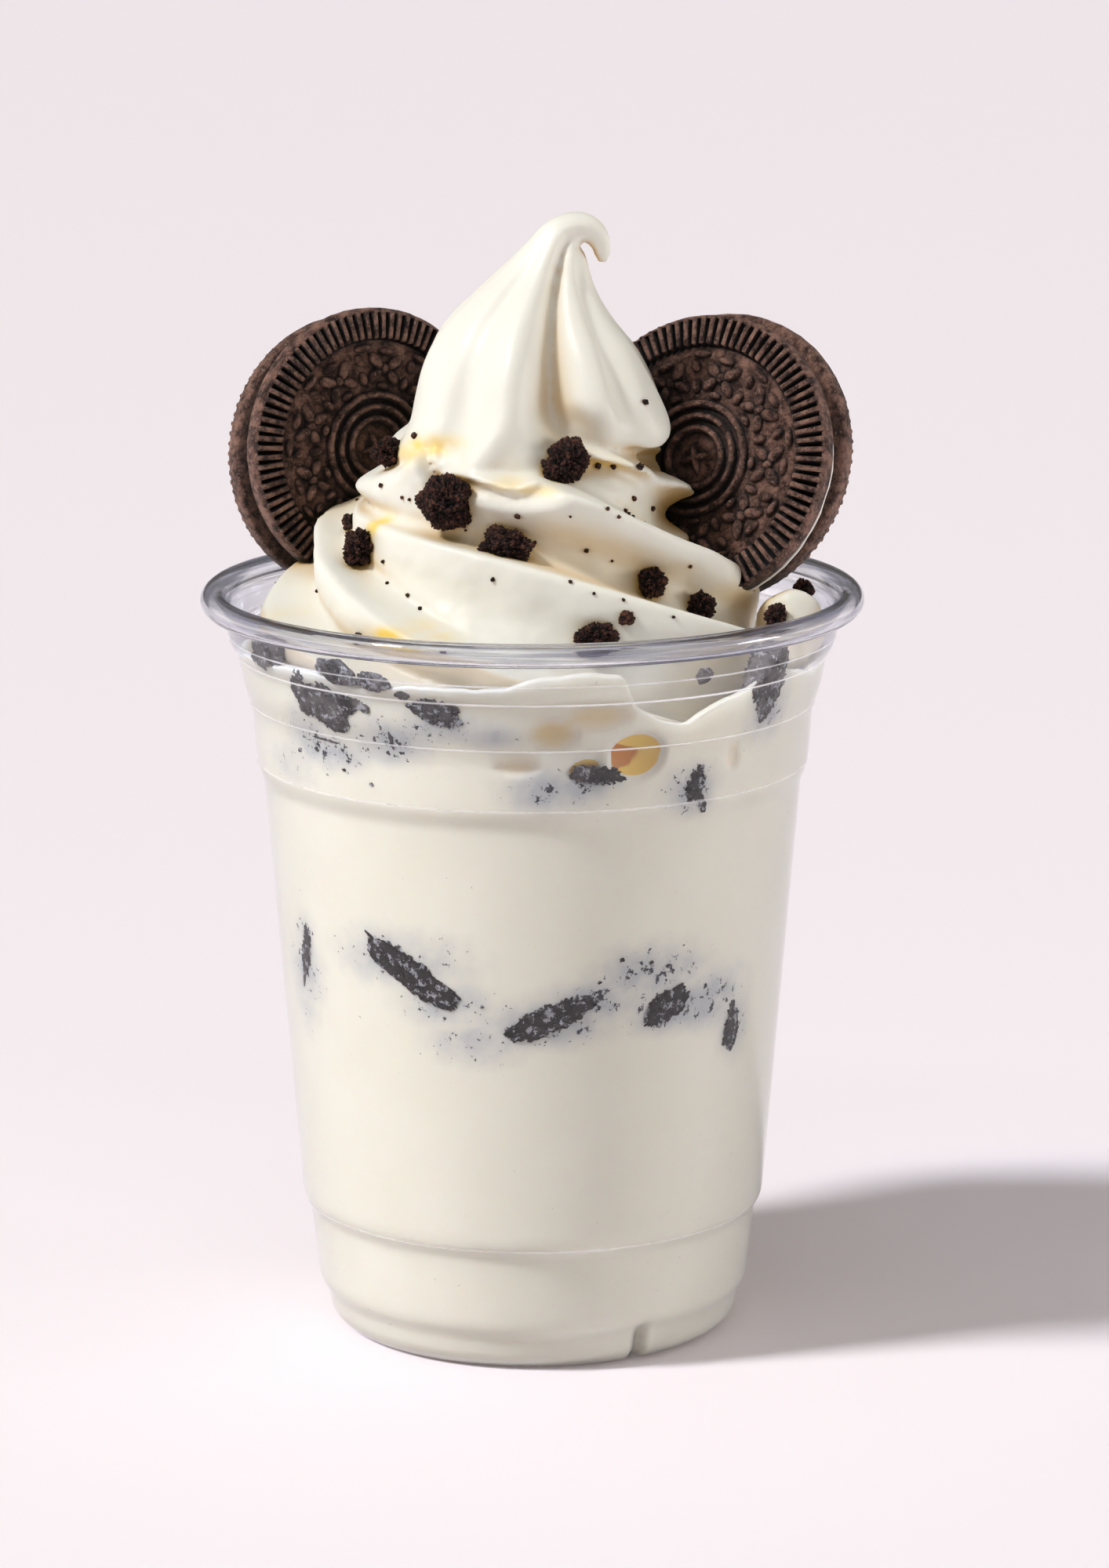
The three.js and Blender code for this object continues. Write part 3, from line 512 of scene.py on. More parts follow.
# Each groove between flutes: its angle half way up and at the hem, its depth and half width.
GROOVES = [
    (-36, -42, 0.07, 9), (10, 22, 0.34, 12), (46, 48, 0.12, 8), (92, 95, 0.14, 11),
    (136, 142, 0.18, 12), (178, 186, 0.2, 12), (-140, -134, 0.18, 12), (-92, -88, 0.10, 11),
]


def bell(distance, width):
    """1 at no distance, about a third at the width, and soon 0 beyond."""
    return math.exp(-(distance / width) ** 2)


def skirt_point(angle, height):
    """A point of the cone with its ridges, which fall by TURN_DROP in a turn to the right."""
    out = lip = 0
    for ridge, shape in enumerate(RIDGES):
        at, stands, swell, swell_at, above, below, blunt, overhang, bow, bow_at = shape
        bowed = bow * (1 - math.cos(math.radians(angle - bow_at)))
        swollen = stands * (1 + swell * math.cos(math.radians(angle - swell_at)))
        if ridge == TONGUE_RIDGE:
            swollen += TONGUE_SWELL * bell(angle - TONGUE_AT, TONGUE_WIDE)
            swollen *= 1 - THINNED * smooth(82, 100, abs(angle))
        for turn in (-1, 0, 1):
            away = height + TURN_DROP * angle / 360 + bowed - at - turn * TURN_DROP
            shelf, face = math.exp(-(math.hypot(away, blunt) - blunt) / above), bell(away, below)
            out += swollen * (shelf if away > 0 else face)
            lip += overhang * bell(away, LIP_WIDTH)
            out -= TROUGH_SHARE * swollen * bell(away - TROUGH_UP, TROUGH_WIDTH)
    band = BAND_OUT * bell(angle - BAND_AT, BAND_WIDE)
    out += band * smooth(124, 127, height) * smooth(134, 132, height)
    out += FOLD_OUT * bell(angle - FOLD_AT, FOLD_WIDE) * bell(height - FOLD_HEIGHT, FOLD_TALL)
    # The ridges fade out inside the cap.
    below_hem = follow(HEM, angle) - height
    fade = min(1, max(0, (140 - height) / 6)) * smooth(-2, 0, below_hem)
    crevice = CREVICE_IN + CREVICE_MORE * bell(angle - CREVICE_AT, CREVICE_WIDE)
    crevice *= bell(below_hem - 0.6, 1.6)
    point = on_circle(angle, follow(SKIRT_BODY, height) - crevice + out * fade, height - lip * fade)
    point.x -= SKIRT_LEFT
    # It has slow lumps of 6 and 2 mm, and stays 0.8 mm clear of the wall, or 5.3 mm low down.
    lumps = 0.35 * noise.noise(point * 0.16) + 0.12 * noise.noise(point * 0.6)
    room = wall_outside(point.z) - PET_WALL - 0.8 - 4.5 * (1 - smooth(95.5, 99, point.z))
    radius = math.hypot(point.x, point.y)
    point.xy *= min(radius + lumps, room) / radius
    return point


def cap_spine(steps):
    """The cap's middle line: it leans back to the left, and its tip curls over to the right."""
    x, z, spine = CAP_X, CAP_Z, []
    for i in range(steps + 1):
        along = i / steps * CAP_LENGTH
        lean = math.radians(
            LEAN_FROM + LEAN_BY * along / 28 + TIP_CURL * smooth(29, 40.4, along))
        spine.append((x, z, lean))
        x += CAP_LENGTH / steps * math.sin(lean)
        z += CAP_LENGTH / steps * math.cos(lean)
    return spine


SPINE = cap_spine(SPINE_STEPS)


def cap_point(angle, along):
    """A point of the cap, some way along its middle line from the hem to the tip."""
    near_hem = 1 - smooth(0, 9, along)
    fluted = 1 - smooth(30, 38, along)
    bulge = BULGE_SHARE * bell(wrapped(angle - BULGE_AT), BULGE_WIDE)
    flute = FLUTE_SHARE * bell(angle - FLUTE_AT, FLUTE_WIDE)
    full = 1 + bulge * bell(along - BULGE_UP, BULGE_UP) + flute * near_hem
    for up, hem, depth, width in GROOVES:
        away = wrapped(angle - up - (hem - up) * near_hem)
        cut = depth * bell(away, width * (1 + 0.5 * near_hem))
        full -= 1.15 * cut * fluted * (1 - 0.35 * near_hem)
    edge = bell(wrapped(angle - EDGE_AT - EDGE_TURNS * near_hem), EDGE_WIDE)
    full += EDGE_SHARE * edge * fluted * (1 - smooth(20, 40, along))
    x, z, lean = SPINE[round(along / CAP_LENGTH * SPINE_STEPS)]
    across = on_circle(angle, follow(CAP_BODY, along) * full, 0)
    rise = (follow(HEM, wrapped(angle)) - CAP_Z) * (1 - smooth(0, 14, along))
    point = Vector((x + across.x * math.cos(lean) + rise * math.sin(lean), across.y,
                    z - across.x * math.sin(lean) + rise * math.cos(lean)))
    lumps = 0.3 * noise.noise(point * 0.15) * smooth(41, 30, along)
    return point + across.normalized() * lumps


def wrap(columns, rows, place):
    """A closed bmesh of a grid bent round, each point put where place(angle, share) says."""
    bm = bmesh.new()
    bmesh.ops.create_grid(bm, x_segments=columns, y_segments=rows, size=0.5)
    for vert in bm.verts:
        vert.co = place(vert.co.x * 360, vert.co.y + 0.5)
    bmesh.ops.remove_doubles(bm, verts=bm.verts, dist=1e-3)
    bmesh.ops.holes_fill(bm, edges=bm.edges, sides=0)
    bmesh.ops.recalc_face_normals(bm, faces=bm.faces)
    return bm


def twist(bm, angle, axis):
    """Turns a bmesh about an axis through the middle, by an angle in radians."""
    bmesh.ops.rotate(bm, verts=bm.verts, matrix=Matrix.Rotation(angle, 3, axis))


def move(bm, vec):
    """Shifts a bmesh by a vector in mm."""
    bmesh.ops.translate(bm, verts=bm.verts, vec=vec)


def joined(*parts):
    """One bmesh of several, which are used up."""
    whole = bmesh.new()
    for part in parts:
        scrap = bpy.data.meshes.new("scrap")
        part.to_mesh(scrap)
        part.free()
        whole.from_mesh(scrap)
        bpy.data.meshes.remove(scrap)
    return whole


def modified(bm, *modifiers):
    """The bmesh after some modifiers, each given as its kind and its settings."""
    mesh = bpy.data.meshes.new("scrap")
    bm.to_mesh(mesh)
    bm.free()
    carrier = put("scrap", mesh)
    for kind, settings in modifiers:
        modifier = carrier.modifiers.new(kind, kind)
        for name, value in settings.items():
            setattr(modifier, name, value)
    result = carrier.evaluated_get(bpy.context.evaluated_depsgraph_get()).to_mesh()
    done = bmesh.new()
    done.from_mesh(result)
    bpy.data.objects.remove(carrier)
    bpy.data.meshes.remove(mesh)
    return done


skirt_bm = wrap(420, 170, lambda angle, share: skirt_point(angle, 89 + 47 * share))
cap_bm = wrap(360, 190, lambda angle, share: cap_point(angle, CAP_LENGTH * share))
# A curl of yogurt that the nozzle left against the wall on the right: its half sizes and place.
CURL_WIDE, CURL_DEEP, CURL_TALL = 4.4, 4.8, 5.4
CURL_ANGLE, CURL_RADIUS, CURL_HEIGHT = 77, 38.8, 106.8
curl_bm = bmesh.new()
bmesh.ops.create_icosphere(curl_bm, subdivisions=5, radius=1)
for vert in curl_bm.verts:
    x, y, z = vert.co
    ripple = 1 + 0.12 * math.sin(3.2 * x + 2 * z) + 0.1 * noise.noise(vert.co * 1.7)
    vert.co = Vector((x * CURL_WIDE, y * CURL_DEEP, z * CURL_TALL)) * ripple
twist(curl_bm, math.radians(CURL_ANGLE), "Z")
move(curl_bm, on_circle(CURL_ANGLE, CURL_RADIUS, CURL_HEIGHT))
# Voxels of 0.54 mm make one skin of the three, and keep it below 200,000 triangles.
swirl_bm = modified(
    joined(skirt_bm, cap_bm, curl_bm), ("REMESH", {"mode": "VOXEL", "voxel_size": 0.54}))
bmesh.ops.smooth_vert(
    swirl_bm, verts=swirl_bm.verts, factor=0.5, use_axis_x=True, use_axis_y=True, use_axis_z=True)

# Piped yogurt has a smooth, moist, half matt skin, a cool ivory that varies over 17 mm. Light
# goes in and comes out warm, and its deep folds are painted golden and darker, a painted glow and
# painted shade, above the rim most of all.
piped = bare_material("piped frozen yogurt")
place = node(piped, "ShaderNodeTexCoord").outputs["Object"]
open_sky = node(piped, "ShaderNodeAmbientOcclusion", {"Distance": 0.011}, samples=6)
up_high = node(piped, "ShaderNodeSeparateXYZ", {0: place}).outputs[2]
above = node(piped, "ShaderNodeMapRange", {
    "Value": up_high, "From Min": 104 * MM, "From Max": 113 * MM, "To Min": 0.25})
deep = node(piped, "ShaderNodeMapRange", {
    "Value": open_sky.outputs["AO"], "From Min": 0.8, "From Max": 0.2},
    interpolation_type="SMOOTHSTEP")
mottle = node(piped, "ShaderNodeTexNoise", {"Vector": place, "Scale": 60, "Detail": 3})
cream = node(piped, "ShaderNodeMix", {
    0: mottle.outputs["Fac"], 6: linear("#e8e6db"), 7: linear("#efeee5")}, data_type="RGBA")
fold_glow_and_shade = node(piped, "ShaderNodeMath", {
    0: deep.outputs[0], 1: above.outputs[0]}, operation="MULTIPLY")
folded = node(piped, "ShaderNodeMix", {
    0: fold_glow_and_shade.outputs[0], 6: cream.outputs[2], 7: linear("#d2ab60")}, data_type="RGBA")
glow = node(piped, "ShaderNodeAttribute", attribute_name="glow").outputs["Fac"]
glowing = node(piped, "ShaderNodeMix", {
    0: glow, 6: folded.outputs[2], 7: linear("#f2cf62")}, data_type="RGBA")
glow_light = node(piped, "ShaderNodeMix", {
    0: glow, 6: linear("#000000"), 7: linear("#f0c030")}, data_type="RGBA")
# Ice crystals of 2.4 mm and less leave the skin faintly uneven. Real ones are under 0.1 mm, so
# these are drawn coarser to show.
silk = node(piped, "ShaderNodeTexNoise", {
    "Vector": place, "Scale": 420, "Detail": 4, "Roughness": 0.55})
skin = node(piped, "ShaderNodeBump", {
    "Height": silk.outputs["Fac"], "Strength": 0.1, "Distance": 0.0005})
soft = node(piped, "ShaderNodeBsdfPrincipled", {
    "Base Color": glowing.outputs[2], "Roughness": 0.42, "Specular IOR Level": 0.35,
    "Emission Color": glow_light.outputs[2], "Emission Strength": 0.05,
    "Subsurface Weight": 0.18, "Subsurface Radius": (1.0, 0.7, 0.35), "Subsurface Scale": 0.0015,
    "Normal": skin.outputs["Normal"]})
node(piped, "ShaderNodeOutputMaterial", {"Surface": soft.outputs[0]})


# ---- The two sandwich cookies ----
# Each is two stamped chocolate wafers, baked dry and nearly black-brown, stuck together with a
# disc of white sugar cream. They stand in the swirl, and their back wafers have slipped a little.
WAFER, CREAM = 3.7, 3.0
# Each: radius, middle of the front face, where that looks, how far the back wafer has slipped,
# and how far the cream is from the edge and has slipped.
COOKIES = [
    ("cookie_right", 21.8, (23.5, 1, 130.8), (-0.494, -0.807, 0.323), 1.4, 0.8, (0.35, -0.55, 0)),
    ("cookie_left", 20.8, (-23, 14, 130.2), (0.534, -0.843, 0.072), -1.3, 3.2, (0, 0, 0)),
]
# How many ribs and clusters of leaves a wafer has, and how far inside its outline the swirl
# closes on it.
RIBS, CLUSTERS, SUNK_IN = 86, 9, 0.3
# The hoops round the middle and each leaf of a cluster, in shares of the radius. A leaf: how far
# out and to the side, its lean, half its length and half its width.
HOOPS = (0.375, 0.29, 0.205)
LEAVES = [
    (0.61, 0.075, 48, 0.085, 0.044), (0.61, -0.075, -48, 0.085, 0.044),
    (0.51, 0.07, -42, 0.075, 0.04), (0.51, -0.07, 42, 0.075, 0.04), (0.565, 0, 0, 0.042, 0.04),
    (0.685, 0, 90, 0.07, 0.03), (0.69, 0.2, 105, 0.075, 0.03), (0.6, 0.215, 40, 0.05, 0.034),
    (0.47, 0.165, 20, 0.055, 0.034), (0.44, 0, 90, 0.05, 0.03),
]


def cookie_pose(face, looks):
    """A cookie's own frame: X to its right, Y up its face, Z out of its front face."""
    out = Vector(looks).normalized()
    right = Vector((0, 0, 1)).cross(out).normalized()
    pose = Matrix((right, out.cross(right), out)).transposed().to_4x4()
    return Matrix.Translation(face) @ pose


def wafer(radius):
    """A wafer whose stamped face looks up at height 0."""
    # Its section: the flat back, the edge, the raised rim, the ring of ribs and the sunk face.
    outline = rounded([
        (0, -WAFER), (radius - 0.4, -WAFER), (radius - 0.1, -3.2), (radius - 0.1, -1.5),
        (0.965 * radius, -0.8), (0.95 * radius, -1.7), (0.79 * radius, -1.8),
        (0.77 * radius, -1.0), (0, -1.1)], 0.3)
    bm = spun(outline, 120)
    rib = bmesh.new()
    bmesh.ops.create_cube(rib, size=1)
    bmesh.ops.scale(rib, verts=rib.verts, vec=(0.2 * radius, 0.84, 2.8))
    bmesh.ops.bevel(
        rib, geom=rib.edges[:], offset=0.3, segments=2, profile=0.5, affect="EDGES", material=-1)
    twist(rib, math.radians(6), "Y")
    move(rib, (0.875 * radius, 0, -1.6))
    ribs = [rib]
    for i in range(1, RIBS):
        ribs.append(rib.copy())
        twist(ribs[-1], i * math.tau / RIBS, "Z")
    return joined(bm, *ribs)


def leaf(long, wide, tall):
    """A flat egg of dough, given by its half sizes in mm."""
    bm = bmesh.new()
    bmesh.ops.create_icosphere(bm, subdivisions=2, radius=1)
    bmesh.ops.scale(bm, verts=bm.verts, vec=(long, wide, tall))
    return bm


def raised(radius):
    """The stamped pattern: clusters of leaves, three hoops, and a cross of two bars within."""
    shapes = []
    for i in range(CLUSTERS):
        for out, side, lean, long, wide in LEAVES:
            shapes.append(leaf(long * radius, wide * radius, 1.35))
            twist(shapes[-1], math.radians(lean), "Z")
            move(shapes[-1], (out * radius, side * radius, -1.35))
            twist(shapes[-1], i * math.tau / CLUSTERS, "Z")
    for share in HOOPS:
        r = share * radius
        hoop = [(-0.6, -1.5), (-0.5, -0.5), (-0.2, -0.15), (0.2, -0.15), (0.5, -0.5), (0.6, -1.5)]
        shapes.append(spun([(r + off, z) for off, z in hoop], 72))
    for turn in (20, 110):
        shapes.append(leaf(0.13 * radius, 0.03 * radius, 1.2))
        move(shapes[-1], (0, 0, -1.35))
        twist(shapes[-1], math.radians(turn), "Z")
    return shapes


# Noise that gives vectors starts from the clock unless it has a seed.
noise.seed_set(7)


def baked(bm, seed):
    """Roughens a stamped wafer by up to 0.1 mm, as baking does."""
    for vert in bm.verts:
        vert.co += 0.1 * noise.noise_vector(vert.co * 1.9 + Vector((seed, 0, 0)))
    return bm


# A wafer is dough dark with cocoa, stamped and baked dry: matt and gritty, with specks of flour
# of 0.5 mm and paler patches of 2 mm where it is dusty. Its grooves get nearly black painted shade.
chocolate = bare_material("baked chocolate wafer")
place = node(chocolate, "ShaderNodeTexCoord").outputs["Object"]
crumb = node(chocolate, "ShaderNodeTexNoise", {
    "Vector": place, "Scale": 1900, "Detail": 4, "Roughness": 0.75})
dusty = node(chocolate, "ShaderNodeTexNoise", {
    "Vector": place, "Scale": 520, "Detail": 5, "Roughness": 0.75})
spots = node(chocolate, "ShaderNodeMapRange", {
    "Value": dusty.outputs["Fac"], "From Min": 0.4, "From Max": 0.62})
dough = node(chocolate, "ShaderNodeMix", {
    0: spots.outputs[0], 6: linear("#32170f"), 7: linear("#a67c6b")}, data_type="RGBA")
specks = node(chocolate, "ShaderNodeMapRange", {
    "Value": crumb.outputs["Fac"], "From Min": 0.6, "From Max": 0.7})
floury = node(chocolate, "ShaderNodeMix", {
    0: specks.outputs[0], 6: dough.outputs[2], 7: linear("#c8aa9a")}, data_type="RGBA")
open_crumb = node(chocolate, "ShaderNodeAmbientOcclusion", {"Distance": 0.0014}, samples=6)
shut = node(chocolate, "ShaderNodeMapRange", {
    "Value": open_crumb.outputs["AO"], "From Min": 0.94, "From Max": 0.56})
groove_shaded = node(chocolate, "ShaderNodeMix", {
    0: shut.outputs[0], 6: floury.outputs[2], 7: linear("#090303")}, data_type="RGBA")
# Under the overhangs of the yogurt hardly any light reaches the wafer.
open_air = node(chocolate, "ShaderNodeAmbientOcclusion", {"Distance": 0.014}, samples=8)
sunk = node(chocolate, "ShaderNodeMapRange", {
    "Value": open_air.outputs["AO"], "From Min": 0.5, "From Max": 0.22, "To Max": 0.85})
shaded = node(chocolate, "ShaderNodeMix", {
    0: sunk.outputs[0], 6: groove_shaded.outputs[2], 7: linear("#060202")}, data_type="RGBA")
grit = node(chocolate, "ShaderNodeBump", {
    "Height": crumb.outputs["Fac"], "Strength": 1.0, "Distance": 0.0009})
dry = node(chocolate, "ShaderNodeBsdfPrincipled", {
    "Base Color": shaded.outputs[2], "Roughness": 0.55, "Specular IOR Level": 0.5,
    "Normal": grit.outputs["Normal"]})
node(chocolate, "ShaderNodeOutputMaterial", {"Surface": dry.outputs[0]})

# The filling is fat whipped with icing sugar: white, dull and a little see-through. Its grain is
# drawn as coarse as 0.6 mm to show.
sugar = bare_material("white sugar cream")
place = node(sugar, "ShaderNodeTexCoord").outputs["Object"]
sugar_grain = node(sugar, "ShaderNodeTexNoise", {"Vector": place, "Scale": 1800, "Detail": 3})
sugar_white = node(sugar, "ShaderNodeMix", {
    0: sugar_grain.outputs["Fac"], 6: linear("#e6e1d8"), 7: linear("#f7f4ee")}, data_type="RGBA")
sugar_bump = node(sugar, "ShaderNodeBump", {
    "Height": sugar_grain.outputs["Fac"], "Strength": 0.3, "Distance": 0.0002})
paste = node(sugar, "ShaderNodeBsdfPrincipled", {
    "Base Color": sugar_white.outputs[2], "Roughness": 0.6, "Subsurface Weight": 0.15,
    "Subsurface Radius": (1.0, 0.8, 0.6), "Subsurface Scale": 0.001,
    "Normal": sugar_bump.outputs["Normal"]})
node(sugar, "ShaderNodeOutputMaterial", {"Surface": paste.outputs[0]})

holes = []
for name, radius, face, looks, slip, inset, shift in COOKIES:
    pose = cookie_pose(face, looks)
    thickness = 2 * WAFER + CREAM
    front = baked(joined(wafer(radius), *raised(radius)), radius)
    back = baked(joined(wafer(radius), *raised(radius)), -radius)
    twist(back, math.pi, "X")
    move(back, (0, slip, -thickness))
    # The cream bulges out under the front wafer and is drawn in at the back one.
    edge = radius - inset
    filling = spun(rounded([
        (0, -WAFER), (edge, -WAFER), (edge, -WAFER - 0.6), (edge - 2.6, -WAFER - 1.0),
        (edge - 3.0, -WAFER - CREAM), (0, -WAFER - CREAM)], 0.4), 96)
    for vert in filling.verts:
        vert.co.xy *= 1 + 0.012 * noise.noise(vert.co * 0.5)
    move(filling, shift)
    for part, suffix, material, slot in (
            (front, "front_wafer", chocolate, "cookie_wafer"),
            (filling, "cream", sugar, "cookie_cream"),
            (back, "back_wafer", chocolate, "cookie_wafer")):
        bmesh.ops.transform(part, matrix=pose, verts=part.verts)
        dress(part, f"{name}_{suffix}_baked", material, [f"{name}_{suffix}"], smooth=45)
    # The swirl closes round the cookie, a little inside its outline.
    halfway = -WAFER - 0.5 * CREAM
    for lift, low, high in ((0, halfway, -SUNK_IN), (slip, SUNK_IN - thickness, halfway)):
        disc = bmesh.new()
        bmesh.ops.create_cone(
            disc, cap_ends=True, segments=96, radius1=radius - SUNK_IN, radius2=radius - SUNK_IN,
            depth=high - low, matrix=Matrix.Translation((0, lift, (high + low) / 2)))
        bmesh.ops.transform(disc, matrix=pose, verts=disc.verts)
        mesh = bpy.data.meshes.new("hole")
        disc.to_mesh(mesh)
        disc.free()
        holes.append(put("hole", mesh))

cutting = {"operation": "DIFFERENCE", "solver": "MANIFOLD"}
swirl_bm = modified(swirl_bm, *[("BOOLEAN", {**cutting, "object": hole}) for hole in holes])
for hole in holes:
    bpy.data.objects.remove(hole)
swirl_tree = BVHTree.FromBMesh(swirl_bm)
glow_layer = swirl_bm.verts.layers.float.new("glow")
for vert in swirl_bm.verts:
    angle, radius = round_axis(vert.co)
    ragged = 0.85 + 0.4 * noise.noise(vert.co * 0.5)
    vert[glow_layer] = max(
        strength * ragged * bell(wrapped(angle - at) * DEGREE * radius, wide)
        * bell(vert.co.z - high, tall) for at, high, wide, tall, strength in GLOWS)
dress(swirl_bm, "piped_swirl", piped, ["yogurt_swirl"], smooth=60)


# ---- Chunks of broken cookie ----
# Crumbly lumps broken off the same chocolate wafer. Some lie on the swirl, pressed in a little,
# and some lie in the blended yogurt against the wall, where a film of yogurt greys them.
# Each: angle, height, its width, height and depth, and how far its right end is turned up.
TOP_CHUNKS = [
    (-26, 127, (8, 8, 6), 10), (21, 132, (6.2, 8.6, 6), -38), (-4, 121, (8, 5.6, 5), 0),
    (-71, 132.2, (4.6, 4.2, 4.4), 20), (-62, 119, (5, 5.4, 4.6), 0), (46, 115, (4.6, 4.6, 4), 30),
    (60, 111, (4.6, 4.4, 4), 0), (20, 109.2, (6.2, 5, 4.6), 15),
]
WALL_CHUNKS = [
    (-44, 100.6, (13, 7.5, 4.5), -8), (-61, 105.6, (6, 4.5, 4), 10), (-18, 101, (8.5, 4.5, 4), -12),
    (52, 102.4, (6.5, 11, 4.5), -12), (13, 91.6, (8, 2.8, 3.4), -6), (35, 89, (3.2, 5.2, 3.4), -15),
    (-28, 61.6, (17, 5.5, 4.5), -33), (-61, 60.5, (2.8, 9.5, 3.6), -14),
    (4, 55.2, (12, 4.4, 4.2), 24), (31, 55.8, (8.5, 5.6, 4.4), 35), (52, 50.6, (3.6, 8, 3.8), -6),
]
# How far a bit that is pressed against the wall reaches past its inner side.
INTO_WALL = 0.4


def grains(place):
    """Round grains packed side by side: 0.2 on top of one, down to -0.8 between them."""
    return math.sqrt(max(0, 1 - 1.6 * noise.voronoi(place)[0][0] ** 2)) - 0.8


def chunk(size, turn, angle, middle, seed, crumbly=1.0, fineness=5):
    """A lump of grains of 0.7 and 0.3 mm, given by its width, height and depth, round a place."""
    bm = bmesh.new()
    bmesh.ops.create_icosphere(bm, subdivisions=fineness, radius=1)
    shift = Vector((seed * 3.7, seed * 1.3, 0))
    for vert in bm.verts:
        unit = vert.co.normalized()
        sized = Vector((unit.x * size[0], unit.y * size[2], unit.z * size[1])) / 2
        lumps = 0.34 * noise.noise(unit * 1.6 + shift)
        coarse, fine = grains(sized * 1.5 + shift), grains(sized * 3.6 + shift)
        rough = 0.75 * coarse + 0.5 * fine + 0.3 * noise.noise(sized * 5)
        vert.co = sized * (0.97 + lumps) + unit * crumbly * rough
    twist(bm, -math.radians(turn), "Y")
    twist(bm, math.radians(angle), "Z")
    move(bm, middle)
    return bm


# Broken wafer shows its open crumb: matt and rough, dark brown grains of 0.8 mm with nearly black
# pits between them, dark in their own colour and darker still by painted shade.
broken = bare_material("broken chocolate wafer")
place = node(broken, "ShaderNodeTexCoord").outputs["Object"]
grain = node(broken, "ShaderNodeTexNoise", {
    "Vector": place, "Scale": 1300, "Detail": 5, "Roughness": 0.8})
coarse = node(broken, "ShaderNodeMapRange", {
    "Value": grain.outputs["Fac"], "From Min": 0.44, "From Max": 0.62})
crumbly = node(broken, "ShaderNodeMix", {
    0: coarse.outputs[0], 6: linear("#0a0403"), 7: linear("#85513f")}, data_type="RGBA")
pits = node(broken, "ShaderNodeAmbientOcclusion", {"Distance": 0.0009}, samples=6)
pit_shaded = node(broken, "ShaderNodeMapRange", {
    "Value": pits.outputs["AO"], "From Min": 0.95, "From Max": 0.5, "To Max": 0.95})
crust_and_pit_shade = node(broken, "ShaderNodeMix", {
    0: pit_shaded.outputs[0], 6: crumbly.outputs[2], 7: linear("#080302")}, data_type="RGBA")
crust = node(broken, "ShaderNodeBump", {
    "Height": grain.outputs["Fac"], "Strength": 1.0, "Distance": 0.0009})
dry = node(broken, "ShaderNodeBsdfPrincipled", {
    "Base Color": crust_and_pit_shade.outputs[2], "Roughness": 0.75, "Specular IOR Level": 0.35,
    "Normal": crust.outputs["Normal"]})
node(broken, "ShaderNodeOutputMaterial", {"Surface": dry.outputs[0]})

# Cookie that lies in yogurt is wet and nearly black. The film over it makes it grey in patches
# of 3 mm, and yogurt fills its pores, 1.3 mm apart, as pale specks.
soaked = bare_material("cookie under a film of yogurt")
place = node(soaked, "ShaderNodeTexCoord").outputs["Object"]
pores = node(soaked, "ShaderNodeTexNoise", {
    "Vector": place, "Scale": 760, "Detail": 4, "Roughness": 0.7})
filled = node(soaked, "ShaderNodeMapRange", {
    "Value": pores.outputs["Fac"], "From Min": 0.55, "From Max": 0.6, "To Max": 0.85})
haze = node(soaked, "ShaderNodeTexNoise", {
    "Vector": place, "Scale": 330, "Detail": 4, "Roughness": 0.7})
patchy = node(soaked, "ShaderNodeMapRange", {
    "Value": haze.outputs["Fac"], "From Min": 0.36, "From Max": 0.64})
# Higher up the film is thicker and the cookie greyer.
up_wall = node(soaked, "ShaderNodeSeparateXYZ", {0: place}).outputs[2]
film_high = node(soaked, "ShaderNodeMapRange", {
    "Value": up_wall, "From Min": 85 * MM, "From Max": 103 * MM})
dim = node(soaked, "ShaderNodeMix", {
    0: film_high.outputs[0], 6: linear("#0b0708"), 7: linear("#1e191b")}, data_type="RGBA")
pale = node(soaked, "ShaderNodeMix", {
    0: film_high.outputs[0], 6: linear("#2b2121"), 7: linear("#77716f")}, data_type="RGBA")
wet = node(soaked, "ShaderNodeMix", {
    0: patchy.outputs[0], 6: dim.outputs[2], 7: pale.outputs[2]}, data_type="RGBA")
speckled = node(soaked, "ShaderNodeMix", {
    0: filled.outputs[0], 6: wet.outputs[2], 7: linear("#b9b8bd")}, data_type="RGBA")
damp = node(soaked, "ShaderNodeBsdfPrincipled", {
    "Base Color": speckled.outputs[2], "Roughness": 0.5, "Specular IOR Level": 0.3})
node(soaked, "ShaderNodeOutputMaterial", {"Surface": damp.outputs[0]})

for i, (angle, height, size, turn) in enumerate(TOP_CHUNKS):
    # A top chunk lies on the cone, about a third of its depth pressed in.
    on_skirt = skirt_point(angle, height) + on_circle(angle, size[2] * 0.22, size[2] * 0.1)
    bm = chunk(size, turn, angle, on_skirt, i + 1, fineness=6)
    dress(bm, f"crumbled_top_{i + 1}", broken, [f"top_chunk_{i + 1}"])
for i, (angle, height, size, turn) in enumerate(WALL_CHUNKS):
    inner = wall_outside(height) - PET_WALL
    middle = on_circle(angle, inner - size[2] * 0.35, height)
    bm = chunk(size, turn, angle, middle, i + 31, 1.2)
    # The side that meets the wall is pressed flat against it.
    for vert in bm.verts:
        radius = round_axis(vert.co)[1]
        proud = radius - middle.xy.length
        pressed = middle.xy.length + max(proud, 3 * proud)
        vert.co.xy *= min(pressed, wall_outside(vert.co.z) - PET_WALL + INTO_WALL) / radius
    dress(bm, f"crumbled_wall_{i + 1}", soaked, [f"wall_chunk_{i + 1}"])


